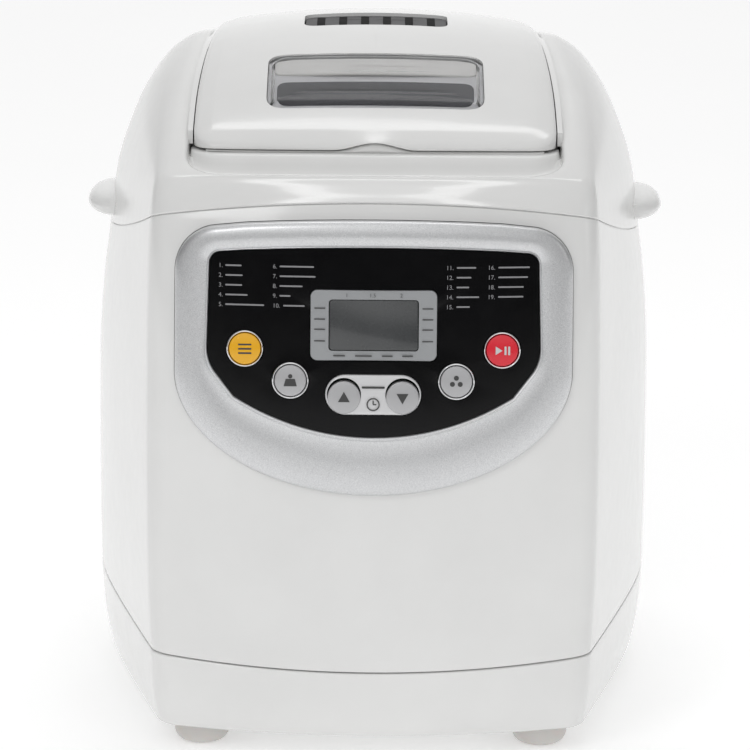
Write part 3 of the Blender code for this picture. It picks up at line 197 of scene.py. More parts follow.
def rod_mesh(axis, radius, start, end, centre, count=48):
    """A round bar along x or y with its end edges broken."""
    def ring(at, r):
        turns = [2 * math.pi * i / count for i in range(count)]
        if axis == "x":
            return [(at, centre[0] + r * math.cos(a), centre[1] + r * math.sin(a)) for a in turns]
        return [(centre[0] + r * math.sin(a), at, centre[1] + r * math.cos(a)) for a in turns]
    edge = min(0.5, radius * 0.2)
    return loft([ring(start, radius - edge), ring(start + edge, radius), ring(end - edge, radius),
                 ring(end, radius - edge)])


# ---------------------------------------------------------------- lines round the housing
@dataclass
class Ring:
    """One closed line round the housing, from its front (y, z), corners (x, y, z) and sides (x, z)."""
    front: tuple
    corner: tuple
    side: tuple
    back: tuple
    back_corner: tuple
    climb: float = 2.0
    round: float = 8.0
    taper: float = 0.0

    def inset(self, by, down=0.0):
        return replace(
            self,
            front=(self.front[0] + by, self.front[1] - down),
            corner=(self.corner[0] - by, self.corner[1] + by, self.corner[2] - down),
            side=(self.side[0] - by, self.side[1] - down),
            back=(self.back[0] - by, self.back[1] - down),
            back_corner=(self.back_corner[0] - by, self.back_corner[1] - by, self.back_corner[2] - down),
            round=max(self.round - by, 1.0))

    def raised(self, by):
        return self.inset(0.0, -by)

    def numbers(self):
        return [*self.front, *self.corner, *self.side, *self.back, *self.back_corner, self.climb, self.round,
                self.taper]

    @staticmethod
    def of(n):
        return Ring(tuple(n[0:2]), tuple(n[2:5]), tuple(n[5:7]), tuple(n[7:9]), tuple(n[9:12]), n[12], n[13],
                    n[14])

    def across(self, x, middle, corner):
        share = (x / corner[0]) ** 2
        return (x, middle[0] + (corner[1] - middle[0]) * share, middle[1] + (corner[2] - middle[1]) * share)

    def side_edge(self, y):
        end = self.corner if y < BULGE_Y else self.back_corner
        share = abs((y - BULGE_Y) / (end[1] - BULGE_Y))
        reach = math.hypot(end[1] - BULGE_Y, SIDE_EASE) - SIDE_EASE
        bulge = (math.hypot(y - BULGE_Y, SIDE_EASE) - SIDE_EASE) / reach
        return (self.side[0] + (end[0] - self.side[0]) * bulge, y,
                self.side[1] + (end[2] - self.side[1]) * share ** self.climb)

    def points(self):
        r = self.round
        half_f, half_b = self.corner[0] - r, self.back_corner[0] - r
        y0, y1 = self.corner[1] + r, self.back_corner[1] - r
        front = [self.across(half_f * (2 * i / FRONT_STEPS - 1), self.front, self.corner)
                 for i in range(FRONT_STEPS + 1)]
        right = [self.side_edge(y0 + (y1 - y0) * i / SIDE_STEPS) for i in range(SIDE_STEPS + 1)]
        back = [self.across(half_b * (1 - 2 * i / BACK_STEPS), self.back, self.back_corner)
                for i in range(BACK_STEPS + 1)]
        left = [(-x, y, z) for x, y, z in reversed(right)]
        corners = [self.corner, self.back_corner, (-self.back_corner[0], *self.back_corner[1:]),
                   (-self.corner[0], *self.corner[1:])]
        edges, found = [front, right, back, left], []
        for k, edge in enumerate(edges):
            found += edge
            found += bend(edge[-1], corners[k], edges[(k + 1) % 4][0])
        return [(narrowed(x, y, self.taper), y, z) for x, y, z in found]


def narrowed(x, y, taper):
    """The place across after the lid and its well draw in towards the back."""
    start, ease, slope = NARROWING
    by = taper * slope * (math.hypot(y - start, ease) + y - start)
    return x - by * max(-1.0, min(1.0, x / LID_HALF))


def bend(start, corner, end):
    """Points that round a corner of a ring."""
    found = []
    for i in range(1, CORNER_STEPS):
        t = i / CORNER_STEPS
        found.append(tuple((1 - t) ** 2 * a + 2 * t * (1 - t) * c + t * t * b
                           for a, c, b in zip(start, corner, end)))
    return found


def eased(rings, steps=6):
    """The rings with smooth ones between them."""
    rows = [ring.numbers() for ring in rings]
    found = []
    for k in range(len(rows) - 1):
        before, after = rows[max(k - 1, 0)], rows[min(k + 2, len(rows) - 1)]
        for i in range(steps):
            t = i / steps
            found.append(Ring.of([
                0.5 * (2 * b + (c - a) * t + (2 * a - 5 * b + 4 * c - d) * t * t + (3 * b - a - 3 * c + d)
                       * t ** 3)
                for a, b, c, d in zip(before, rows[k], rows[k + 1], after)]))
    return found + [rings[-1]]


def level(z, front_y, corner, side_x, **more):
    x, y = corner
    return Ring(front=(front_y, z), corner=(x, y, z), side=(side_x, z), back=(-front_y, z),
                back_corner=(x + 1.0, -front_y - 12.0, z), **more)


def rectangle(half, y_low, y_high, z, radius, bow=0.0):
    return Ring((y_low - bow, z), (half, y_low, z), (half, z), (y_high, z), (half, y_high, z), round=radius)


D, W = HALF_DEPTH, HALF_WIDTH
BOTTOM = level(BASE_Z, 15.0 - D, (95.0, 31.0 - D), W - 4.6)
SKIRT = level(BASE_Z + 16, 8.5 - D, (96.4, 24.5 - D), W - 1.8)
LOW_SEAM = replace(level(LOW_SEAM_Z, 4.6 - D, (97.3, 20.4 - D), W - 0.4), front=(4.6 - D, LOW_SEAM_Z - 4.3))
BELLY = [
    level(80.0, 1.0 - D, (98.4, 17.0 - D), W),
    level(120.0, -D, (98.8, 16.0 - D), W),
    level(160.0, 1.0 - D, (98.8, 16.8 - D), W - 0.4),
    replace(level(200.0, 3.4 - D, (98.6, 19.0 - D), W - 2.4), side=(W - 2.4, 190.0)),
    replace(level(234.0, 7.4 - D, (98.2, 22.4 - D), W - 4.4), side=(W - 4.4, 206.0),
            corner=(98.2, 22.4 - D, 228.0), back_corner=(98.6, 160.6, 228.0)),
]
TOP_SEAM = Ring((14.5 - D, TOP_SEAM_Z), (97.5, 26.5 - D, TOP_SEAM_Z - 8.0), (W - 5.6, SIDE_SEAM_Z),
                (167.0, 250.0), (97.5, 157.5, 243.0), climb=1.5)
DOME = [
    Ring((-157.8, 256.7), (97.4, -147.6, 249.8), (123.2, 243.0), (165.0, 259.0), (97.5, 155.5, 253.0), 2.6),
    Ring((-154.4, 258.2), (97.2, -146.0, 253.4), (117.4, 262.0), (161.0, 268.0), (97.2, 152.0, 262.0), 2.1),
    Ring((-151.0, 259.6), (96.7, -144.2, 257.0), (109.4, 280.0), (156.0, 277.0), (96.4, 148.0, 271.0), 1.8),
    Ring((-147.6, 261.0), (95.6, -142.4, 260.0), (100.6, 295.0), (150.0, 284.0), (96.0, 145.0, 279.0), 1.6,
         taper=0.35),
    Ring((-144.0, 262.4), (92.2, -140.4, 262.4), (92.2, 303.0), (143.0, 289.0), (92.2, 141.0, 286.0), 1.4,
         taper=0.8),
]
DOME_LINING = [
    Ring((-143.5, 258.8), (89.6, -140.2, 259.2), (90.0, 300.2), (140.6, 286.4), (90.4, 138.8, 283.4), 1.4,
         taper=0.8),
    Ring((-146.2, 258.0), (92.8, -141.0, 257.8), (98.2, 293.2), (147.8, 281.8), (93.6, 142.8, 277.0), 1.6,
         taper=0.35),
    Ring((-149.6, 256.6), (94.2, -142.4, 255.4), (107.0, 278.6), (153.6, 275.2), (94.0, 145.6, 269.4), 1.8),
    Ring((-153.0, 255.2), (94.6, -143.8, 252.2), (114.9, 261.0), (158.4, 266.6), (94.6, 149.4, 260.8), 2.1),
    Ring((-155.6, 254.0), (94.8, -145.2, 248.8), (120.6, 242.4), (162.4, 258.0), (94.9, 152.9, 252.0), 2.6),
    TOP_SEAM.raised(SEAM_GAP).inset(WALL),
]
WELL_EDGE = Ring((-140.0, 263.6), (83.6, -137.8, 263.6), (83.4, 305.0), (135.0, 291.0), (83.4, 134.0, 290.0),
                 1.3, round=19.0, taper=1.0)
WELL_FOOT = Ring((-130.5, 261.8), (83.0, -129.5, 261.8), (83.0, LEDGE_Z), (134.4, LEDGE_Z),
                 (83.0, 133.4, LEDGE_Z), climb=9.0, round=18.0, taper=1.0)
WELL_FOOT_LINING = Ring((-131.4, 258.8), (85.6, -130.6, 258.8), (85.6, LEDGE_Z - WALL),
                        (137.0, LEDGE_Z - WALL), (85.6, 136.0, LEDGE_Z - WALL), climb=9.0, round=19.0,
                        taper=1.0)
WELL_EDGE_LINING = Ring((-141.2, 259.0), (86.0, -139.2, 259.2), (86.0, 301.6), (137.8, 287.4),
                        (86.0, 136.6, 286.0), 1.3, round=19.5, taper=1.0)
RECESS_TOP = Ring((-122.0, LEDGE_Z), (82.6, -121.0, LEDGE_Z), (82.6, LEDGE_Z), (133.4, LEDGE_Z),
                  (82.6, 132.4, LEDGE_Z), round=17.0, taper=1.0)


# ---------------------------------------------------------------- materials
class Graph:
    """Builds one procedural material."""

    def __init__(self, name, **sockets):
        self.material = bpy.data.materials.new(name)
        self.material.use_nodes = True
        self.tree = self.material.node_tree
        self.shader = self.tree.nodes["Principled BSDF"]
        for key, value in sockets.items():
            self.shader.inputs[key.replace("_", " ")].default_value = value
        self.at = self.node("ShaderNodeTexCoord").outputs["Object"]

    def node(self, kind, **values):
        made = self.tree.nodes.new(kind)
        for key, value in values.items():
            if hasattr(made, key):
                setattr(made, key, value)
            else:
                made.inputs[key.replace("_", " ")].default_value = value
        return made

    def link(self, out, into):
        self.tree.links.new(out, into)
        return into

    def noise(self, scale, detail=3.0, rough=0.5, stretch=None):
        made = self.node("ShaderNodeTexNoise", Scale=scale, Detail=detail, Roughness=rough)
        if stretch:
            mapping = self.node("ShaderNodeMapping", Scale=stretch)
            self.link(self.at, mapping.inputs["Vector"])
            self.link(mapping.outputs[0], made.inputs["Vector"])
        else:
            self.link(self.at, made.inputs["Vector"])
        return made.outputs["Fac"]

    def ramp(self, source, stops):
        made = self.node("ShaderNodeValToRGB")
        elements = made.color_ramp.elements
        while len(elements) < len(stops):
            elements.new(0.5)
        for element, (at, value) in zip(elements, stops):
            element.position = at
            element.color = (*value, 1.0)
        self.link(source, made.inputs["Fac"])
        return made.outputs["Color"]

    def colour(self, out):
        self.link(out, self.shader.inputs["Base Color"])

    def rough(self, source, low_value, high_value):
        made = self.node("ShaderNodeMapRange")
        made.inputs["To Min"].default_value = low_value
        made.inputs["To Max"].default_value = high_value
        self.link(source, made.inputs["Value"])
        self.link(made.outputs[0], self.shader.inputs["Roughness"])

    def bump(self, source, depth_mm, strength=1.0):
        made = self.node("ShaderNodeBump", Strength=strength, Distance=depth_mm * MM)
        self.link(source, made.inputs["Height"])
        self.link(made.outputs["Normal"], self.shader.inputs["Normal"])


def shade(base, by):
    return tuple(max(0.0, c * by) for c in base)


def plastic(name, base, rough=(0.14, 0.24), vary=0.03, grain_mm=0.004, grain_scale=900.0, coat=0.0, **more):
    """Moulded plastic: faint cloudiness, uneven polish and a fine mould texture."""
    g = Graph(name, Coat_Weight=coat, Coat_Roughness=0.06, **more)
    cloud = g.noise(22.0, 4.0)
    g.colour(g.ramp(cloud, [(0.3, shade(base, 1 - vary)), (0.7, shade(base, 1 + vary / 2))]))
    g.rough(g.noise(140.0, 5.0, 0.6), *rough)
    g.bump(g.noise(grain_scale, 2.0), grain_mm)
    return g.material


def metal(name, base, rough=(0.2, 0.4), stretch=None, scale=400.0, depth_mm=0.004, vary=0.08):
    """Metal with brushing along one axis, or a fine cast grain."""
    g = Graph(name, Metallic=1.0)
    g.colour(g.ramp(g.noise(30.0, 4.0), [(0.3, shade(base, 1 - vary)), (0.7, shade(base, 1 + vary))]))
    grain = g.noise(scale, 4.0, 0.6, stretch)
    g.rough(grain, *rough)
    g.bump(grain, depth_mm)
    return g.material


def clear(name, tint, rough=0.03, ior=1.49):
    g = Graph(name, Transmission_Weight=1.0, IOR=ior)
    g.colour(g.ramp(g.noise(30.0), [(0.3, shade(tint, 0.985)), (0.7, tint)]))
    g.rough(g.noise(60.0, 4.0), rough, rough + 0.03)
    return g.material


def silver_paint():
    g = Graph("silver_paint", Metallic=0.75, Coat_Weight=0.5, Coat_Roughness=0.12)
    flake = g.noise(5200.0, 1.0, 0.5)
    g.colour(g.ramp(flake, [(0.35, (0.50, 0.505, 0.515)), (0.5, (0.66, 0.665, 0.675)),
                            (0.68, (0.82, 0.825, 0.83))]))
    g.rough(g.noise(90.0, 4.0), 0.3, 0.4)
    g.bump(flake, 0.01, 0.5)
    return g.material


def lcd_glass():
    g = Graph("lcd_glass", Coat_Weight=0.6, Coat_Roughness=0.08)
    g.colour(g.ramp(g.noise(40.0, 2.0), [(0.3, (0.040, 0.043, 0.045)), (0.7, (0.055, 0.058, 0.060))]))
    g.rough(g.noise(200.0, 3.0), 0.22, 0.32)
    return g.material


def circuit_board():
    g = Graph("circuit_board")
    tracks = g.node("ShaderNodeTexBrick", Scale=140.0, Color1=(0.02, 0.16, 0.06, 1),
                    Color2=(0.02, 0.13, 0.05, 1), Mortar=(0.05, 0.28, 0.12, 1))
    g.link(g.at, tracks.inputs["Vector"])
    g.colour(tracks.outputs["Color"])
    g.rough(g.noise(300.0), 0.35, 0.55)
    return g.material


WHITE = plastic("white_plastic", (0.82, 0.82, 0.812), (0.13, 0.22), coat=0.25)
FOOT = plastic("foot_plastic", (0.66, 0.64, 0.62), (0.35, 0.5), Subsurface_Weight=0.15)
SILVER = silver_paint()
BLACK = plastic("black_gloss", (0.003, 0.003, 0.0035), (0.10, 0.16), vary=0.3, grain_mm=0.002,
                Specular_IOR_Level=0.3)
LCD = lcd_glass()
LCD_RIM = plastic("lcd_rim", (0.34, 0.35, 0.36), (0.3, 0.42))
YELLOW = plastic("yellow_button", (0.88, 0.45, 0.008), (0.2, 0.32), coat=0.3)
RED = plastic("red_button", (0.74, 0.012, 0.03), (0.2, 0.32), coat=0.3)
BUTTON = plastic("silver_button", (0.48, 0.48, 0.49), (0.28, 0.4), Metallic=0.35, coat=0.2)
CAPSULE = plastic("silver_capsule", (0.70, 0.70, 0.71), (0.25, 0.36), Metallic=0.15, coat=0.2)
CHROME = metal("chrome", (0.78, 0.78, 0.79), (0.06, 0.14), depth_mm=0.001, vary=0.03)
PRINT = plastic("print_ink", (0.62, 0.62, 0.62), (0.4, 0.5))
FAINT_PRINT = plastic("faint_ink", (0.26, 0.26, 0.27), (0.4, 0.5))
DARK_PRINT = plastic("dark_ink", (0.05, 0.05, 0.05), (0.4, 0.5))
CLEAR = clear("clear_plastic", (0.97, 0.975, 0.98), ior=1.22)
DARK = plastic("dark_plastic", (0.055, 0.055, 0.055), (0.35, 0.5), vary=0.1, grain_mm=0.02)
VENT = plastic("vent_plastic", (0.085, 0.085, 0.088), (0.45, 0.6), vary=0.08, grain_mm=0.012,
               Specular_IOR_Level=0.25)
SURROUND = plastic("window_surround", (0.56, 0.555, 0.57), (0.3, 0.45), vary=0.06)
STEP = plastic("window_step", (0.66, 0.645, 0.625), (0.3, 0.45), vary=0.06)
# painted shade: a near-black finish that stands for the shaded space seen through the lid's window
WINDOW_SHADE = plastic("window_space_painted_shade", (0.055, 0.055, 0.062), (0.4, 0.6), vary=0.3, Specular_IOR_Level=0.12)
# painted shade: a near-black, almost unreflecting finish that stands for the shaded inside of the vent's openings
SLOT_SHADE = plastic("vent_slot_shade", (0.004, 0.004, 0.004), (0.5, 0.7), Specular_IOR_Level=0.05)
STEEL = metal("steel", (0.60, 0.60, 0.60), (0.22, 0.4), stretch=(1.0, 1.0, 14.0))
NONSTICK = plastic("nonstick", (0.035, 0.035, 0.038), (0.35, 0.5), vary=0.2, grain_mm=0.01,
                   grain_scale=1400.0, Metallic=0.3)
CAST = metal("cast_aluminium", (0.55, 0.55, 0.56), (0.4, 0.6), scale=700.0, depth_mm=0.02)
RUBBER = plastic("rubber", (0.02, 0.02, 0.02), (0.6, 0.75), vary=0.2, grain_mm=0.01)
SILICONE = plastic("silicone", (0.42, 0.38, 0.33), (0.5, 0.65))
BOARD = circuit_board()
CERAMIC = plastic("ceramic", (0.72, 0.69, 0.62), (0.45, 0.6), grain_mm=0.02)
BRASS = metal("brass", (0.66, 0.47, 0.18), (0.25, 0.4))
FINISH = {
    "white_plastic": WHITE, "foot_plastic": FOOT, "silver_paint": SILVER, "black_gloss": BLACK,
    "display": LCD, "yellow_button": YELLOW, "red_button": RED, "silver_button": BUTTON, "chrome": CHROME,
    "clear_plastic": CLEAR, "dark_plastic": DARK, "steel": STEEL, "nonstick": NONSTICK,
    "cast_aluminium": CAST, "rubber": RUBBER, "silicone": SILICONE, "circuit_board": BOARD,
    "ceramic": CERAMIC, "brass": BRASS,
}


def dress_frame():
    """Every CAD node that stays gets its slot's finish, with its facets smoothed."""
    for row in frame["record"]["subparts"]:
        node = NODES[row["node"]]
        node.data.materials.clear()
        node.data.materials.append(FINISH[row["material_slot"]])
        node.data.shade_smooth()
        node.data.set_sharp_from_angle(angle=math.radians(35))


# ---------------------------------------------------------------- housing
def edge_round(ring, r=0.5):
    """Rings that round a sheet's outer edge, up to the ring."""
    return [ring.raised(-r), ring.inset(0.3 * r).raised(-0.3 * r), ring.inset(r)]


def base_tray():
    """The shallow tray under the housing, slotted for air."""
    seam = LOW_SEAM.raised(-SEAM_GAP)
    outer = [BOTTOM.inset(3.0), BOTTOM.inset(1.2).raised(0.25), BOTTOM.inset(0.3).raised(0.9)]
    outer += eased([BOTTOM.raised(2.0), SKIRT, seam.raised(-0.5)], 6)
    inner = [seam.inset(WALL), SKIRT.inset(WALL), BOTTOM.inset(WALL + 2).raised(WALL)]
    rings = outer + edge_round(seam)[1:] + inner
    mesh = loft([r.points() for r in rings])
    top = BASE_Z + WALL + 4
    slots = [box_mesh((-40, y - 2.0, 0), (40, y + 2.0, top)) for y in (-70.0, -56.0, 60.0, 74.0)]
    make("base_tray_skin", carve(mesh, slots), "housing", WHITE, ["base_tray"])


def main_housing():
    """The walls between the two seams, open at the panel, with air slots and a hole for the gland."""
    shell = [LOW_SEAM, *BELLY, TOP_SEAM]
    outer = eased(shell, 7)
    rings = [LOW_SEAM.inset(0.5)] + [LOW_SEAM.inset(0.15).raised(0.15)] + [LOW_SEAM.raised(0.5)] + outer[1:-1]
    rings += edge_round(TOP_SEAM) + [r.inset(WALL) for r in reversed(eased(shell, 2))]
    mesh = loft([r.points() for r in rings], loop=True)
    gland = low("cord_gland").lerp(high("cord_gland"), 0.5)
    cutters = [panel_solid(bezel_outline(0.25), -30.0, 20.0),
               rod_mesh("y", 6.5, 150.0, 190.0, (gland.x, gland.z))]
    cutters += [box_mesh((-36, 150, z), (36, 190, z + 4.2), 1.0) for z in (84.0, 94.0, 104.0, 114.0, 124.0)]
    make("main_housing_skin", carve(mesh, cutters), "housing", WHITE, ["main_housing"])


def upper_housing():
    """The crown round the lid, its well, and the mouth over the chamber."""
    seam = TOP_SEAM.raised(SEAM_GAP)
    shown = TOP_SEAM.raised(SEAM_SHOWN)
    rim = WELL_EDGE.inset(-2.4, 0.25)
    crown = eased([seam.raised(0.5), *DOME, rim], 7)
    edge = [WELL_EDGE.inset(-1.2, 0.0), WELL_EDGE.inset(-0.5, 0.3), WELL_EDGE.inset(-0.1, 0.9),
            WELL_EDGE.inset(0.0, 1.6)]
    foot = [replace(WELL_FOOT, front=(-138.4, 262.2), corner=(83.2, -136.4, 262.2), climb=6.0, round=19.0),
            replace(WELL_FOOT, front=(-135.5, 261.6), corner=(83.1, -134.0, 261.6), climb=7.5), WELL_FOOT]
    half, y0, y1 = MOUTH
    collar = low("upper_housing").z + 17.0
    mouth = [rectangle(half + 1.5, y0 - 1.5, y1 + 1.5, LEDGE_Z, 14.0),
             rectangle(half + 0.3, y0 - 0.3, y1 + 0.3, LEDGE_Z - 0.4, 12.0),
             rectangle(half, y0, y1, LEDGE_Z - 1.5, 12.0), rectangle(half, y0, y1, collar, 12.0)]
    under = LEDGE_Z - WALL
    back = [rectangle(half + WALL, y0 - WALL, y1 + WALL, collar, 14.0),
            rectangle(half + WALL, y0 - WALL, y1 + WALL, under, 14.0),
            replace(RECESS_TOP.inset(-WALL, WALL), front=(-122.6, under), corner=(85.2, -121.0, under),
                    round=18.0),
            WELL_FOOT_LINING, WELL_EDGE_LINING, *DOME_LINING]
    lip = [TOP_SEAM.inset(0.9).raised(-2.0), TOP_SEAM.inset(0.9).raised(SEAM_SHOWN), shown.inset(0.35),
           shown.inset(0.1).raised(0.1)]
    rings = lip + crown + edge + foot + scoop_rings() + mouth + back
    mesh = loft([r.points() for r in rings], loop=True)
    make("upper_housing_skin", mesh, "housing", WHITE, ["upper_housing"], 38.0)
    hinge_ears()


def scoop_rings():
    """From the foot of the well up to the ledge the lid's seal sits on."""
    rows, found = (WELL_FOOT.numbers(), RECESS_TOP.numbers()), []
    for k in range(1, 7):
        along = k / 6
        ring = Ring.of([a + (b - a) * along for a, b in zip(*rows)])
        lift = (1 - math.cos(math.pi * along)) / 2 - along
        rise_of = LEDGE_Z - WELL_FOOT.front[1]
        found.append(replace(ring, front=(ring.front[0], ring.front[1] + lift * rise_of),
                             corner=(*ring.corner[:2], ring.corner[2] + lift * rise_of)))
    return found


def hinge_ears():
    """Two pairs of ears that hold the lid's pins."""
    for side, name in ((-1, "left"), (1, "right")):
        ears = []
        for x in (47.0, 65.5):
            a, b = sorted((side * x, side * (x + 4.0)))
            ears.append(box_mesh((a, HINGE.y - 4.6, LEDGE_Z - 0.6), (b, HINGE.y + 4.6, HINGE.z + 4.2), 1.4))
        make(f"hinge_ears_{name}", joined(ears), "housing", WHITE)


def grips():
    """The two finger grips, which grow from the seam and fade at their ends."""
    profile = [(-0.3, -5.6), (0.25, -5.4), (0.5, -4.8), (0.72, -3.8), (0.88, -2.4), (0.98, -0.5), (0.98, 1.3),
               (0.9, 3.0), (0.74, 4.5), (0.52, 5.4), (0.28, 5.9), (-0.3, 6.1)]
    lo, hi = low("grip_right"), high("grip_right")
    middle_y, half = (lo.y + hi.y) / 2, (hi.y - lo.y) / 2
    middle_z = lo.z + 5.6
    for side, name in ((-1, "grip_left"), (1, "grip_right")):
        rings = []
        for i in range(61):
            share = math.sin(math.pi * (i / 60 - 0.5))
            y = middle_y + half * share
            reach = math.sqrt(max(1 - abs(share) ** 2.6, 0.0))
            root = TOP_SEAM.side_edge(y)[0] - 0.6
            out = (hi.x - 0.7 - root) * reach + 0.7
            rings.append([(side * (root + out * a), y, middle_z + b * (0.45 + 0.55 * reach))
                          for a, b in profile])
        make(f"{name}_skin", loft(rings), "housing", WHITE, [name], 50.0)


def feet():
    """Four round feet."""
    for place in ("front_left", "front_right", "rear_left", "rear_right"):
        lo, hi = low(f"foot_{place}"), high(f"foot_{place}")
        centre, r = ((lo.x + hi.x) / 2, (lo.y + hi.y) / 2), (hi.y - lo.y) / 2
        curve = [(r - 6.0 + 6.0 * math.sin(a), 6.0 - 6.0 * math.cos(a)) for a in
                 (math.radians(15 + 75 * i / 9) for i in range(10))]
        profile = [(0.6, 0.4), (r - 6.6, 0.0)] + curve + [(r, hi.z - 0.6), (r - 0.6, hi.z)]
        make(f"foot_{place}_skin", turned(profile, centre), "housing", FOOT,
             [f"foot_{place}"], 50.0)


# ---------------------------------------------------------------- control panel
PANEL_W = 0.2             # how far the fascia stands out of the panel's own surface
PANEL_Z = low("panel_fascia").z + 36.4
TIMER_FACE = (-17.3, 0.9)  # v and w of the point of the timer surround that sets the panel's depth
LCD_AT = (0.0, 13.9)
LCD_RIM_HALF = (27.6, 15.5)
LCD_HALF = (19.4, 11.0)
TIMER_V = -16.6
TIMER_HALF = (21.0, 8.85)
GAP = 0.3                 # round each piece let into the panel
THROUGH = (-10.0, 10.0)   # the depths between which a cutter goes right through the panel
PANEL_Y = low("timer_surround").y - TIMER_FACE[0] * math.sin(LEAN) + TIMER_FACE[1] * math.cos(LEAN)


def on_panel(u, v, w):
    """A point of the bowed, leaning control panel: u across, v up, w outwards."""
    n = w - u * u / (2 * PANEL_BOW_R)
    return (u, PANEL_Y + v * math.sin(LEAN) - n * math.cos(LEAN),
            PANEL_Z + v * math.cos(LEAN) + n * math.sin(LEAN))


def bezel_outline(g=0.0):
    """The bezel's outer line, grown by g: an arch, rounded shoulders and half an ellipse below."""
    half = [*arc((0, -7.9), (87.5 + g, 53.5 + g), -90, 0, 40),
            *arc((67.3, 36.5), (20.0 + g, 20.0 + g), 2, 84, 16), (56.0, 57.9 + g), (42.0, 58.7 + g),
            (28.0, 59.2 + g), (14.0, 59.5 + g), (0.0, 59.6 + g)]
    return half + [(-u, v) for u, v in reversed(half[1:-1])]


def fascia_outline(g=0.0):
    """The black fascia's line, grown by g: an arched top, tight corners and a long curve below."""
    half = [*arc((0, 81.6), (117.0 + g, 116.8 + g), -90, -58.5, 24),
            *arc((58.8, 3.0), (14.0 + g, 16.0 + g), -42, 0, 18),
            *arc((66.8, 40.2), (5.0 + g, 5.0 + g), 0, 86, 13),
            (56.0, 46.1 + g), (42.0, 46.8 + g), (28.0, 47.3 + g), (14.0, 47.6 + g), (0.0, 47.7 + g)]
    return half + [(-u, v) for u, v in reversed(half[1:-1])]


def panel_solid(outline, w_low, w_high, edge=0.0):
    """A plate of the panel between two depths; its front edge may be rounded."""
    rings = [[on_panel(u, v, w_low) for u, v in outline]]
    if edge:
        rings.append([on_panel(u, v, w_high - edge) for u, v in outline])
        for k in (1, 2, 3):
            a = math.radians(30 * k)
            inner = pulled(outline, edge * (1 - math.cos(a)))
            rings.append([on_panel(u, v, w_high - edge + edge * math.sin(a)) for u, v in inner])
    else:
        rings.append([on_panel(u, v, w_high) for u, v in outline])
    return loft(rings)


def pulled(outline, by):
    """The outline moved inwards by a distance, along its own normals."""
    found = []
    count = len(outline)
    for i, (u, v) in enumerate(outline):
        a, b = outline[i - 1], outline[(i + 1) % count]
        tu, tv = b[0] - a[0], b[1] - a[1]
        size = math.hypot(tu, tv) or 1.0
        found.append((u - by * tv / size, v + by * tu / size))
    return found


def stadium(half_u, half_v, steps=24):
    flat = half_u - half_v
    return [*arc((flat, 0), (half_v, half_v), -90, 90, steps),
            *arc((-flat, 0), (half_v, half_v), 90, 270, steps)]


def rounded_box(half_u, half_v, r, steps=8):
    return [*arc((half_u - r, r - half_v), (r, r), -90, 0, steps),
            *arc((half_u - r, half_v - r), (r, r), 0, 90, steps),
            *arc((r - half_u, half_v - r), (r, r), 90, 180, steps),
            *arc((r - half_u, r - half_v), (r, r), 180, 270, steps)]


def moved(outline, u, v):
    return [(a + u, b + v) for a, b in outline]


def disc(radius, u=0.0, v=0.0, count=48):
    return [(u + radius * math.cos(2 * math.pi * i / count), v + radius * math.sin(2 * math.pi * i / count))
            for i in range(count)]


def place_of(node):
    """Where a round piece stands on the panel, (u, v), from its box."""
    middle = (low(node) + high(node)) / 2
    return middle.x, (middle.z - PANEL_Z + 1.2 * math.sin(LEAN)) / math.cos(LEAN)


def flat_disc(u, v, profile, count=56, loop=False):
    """A round mesh square to the panel at (u, v), from (radius, w) points."""
    lean_u = u * u / (2 * PANEL_BOW_R)
    rings = []
    for r, w in profile:
        ring = []
        for a, b in disc(r, count=count):
            x, y, z = on_panel(0, v + b, w - lean_u)
            ring.append((x + u + a, y, z))
        rings.append(ring)
    return loft(rings, loop)


def crown(radius, back, face, edge, dome, steps=6):
    """The profile of a key: its side, a rounded edge and a face that domes or dishes slightly."""
    found = [(radius, back), (radius, face - edge)]
    found += [(radius - edge + edge * math.cos(math.radians(90 * k / 4)),
               face - edge + edge * math.sin(math.radians(90 * k / 4)))
              for k in range(1, 5)]
    inner = radius - edge
    found += [(inner * (1 - k / steps), face + dome * (1 - (1 - k / steps) ** 2)) for k in range(1, steps)]
    return found + [(0.15, face + dome)]


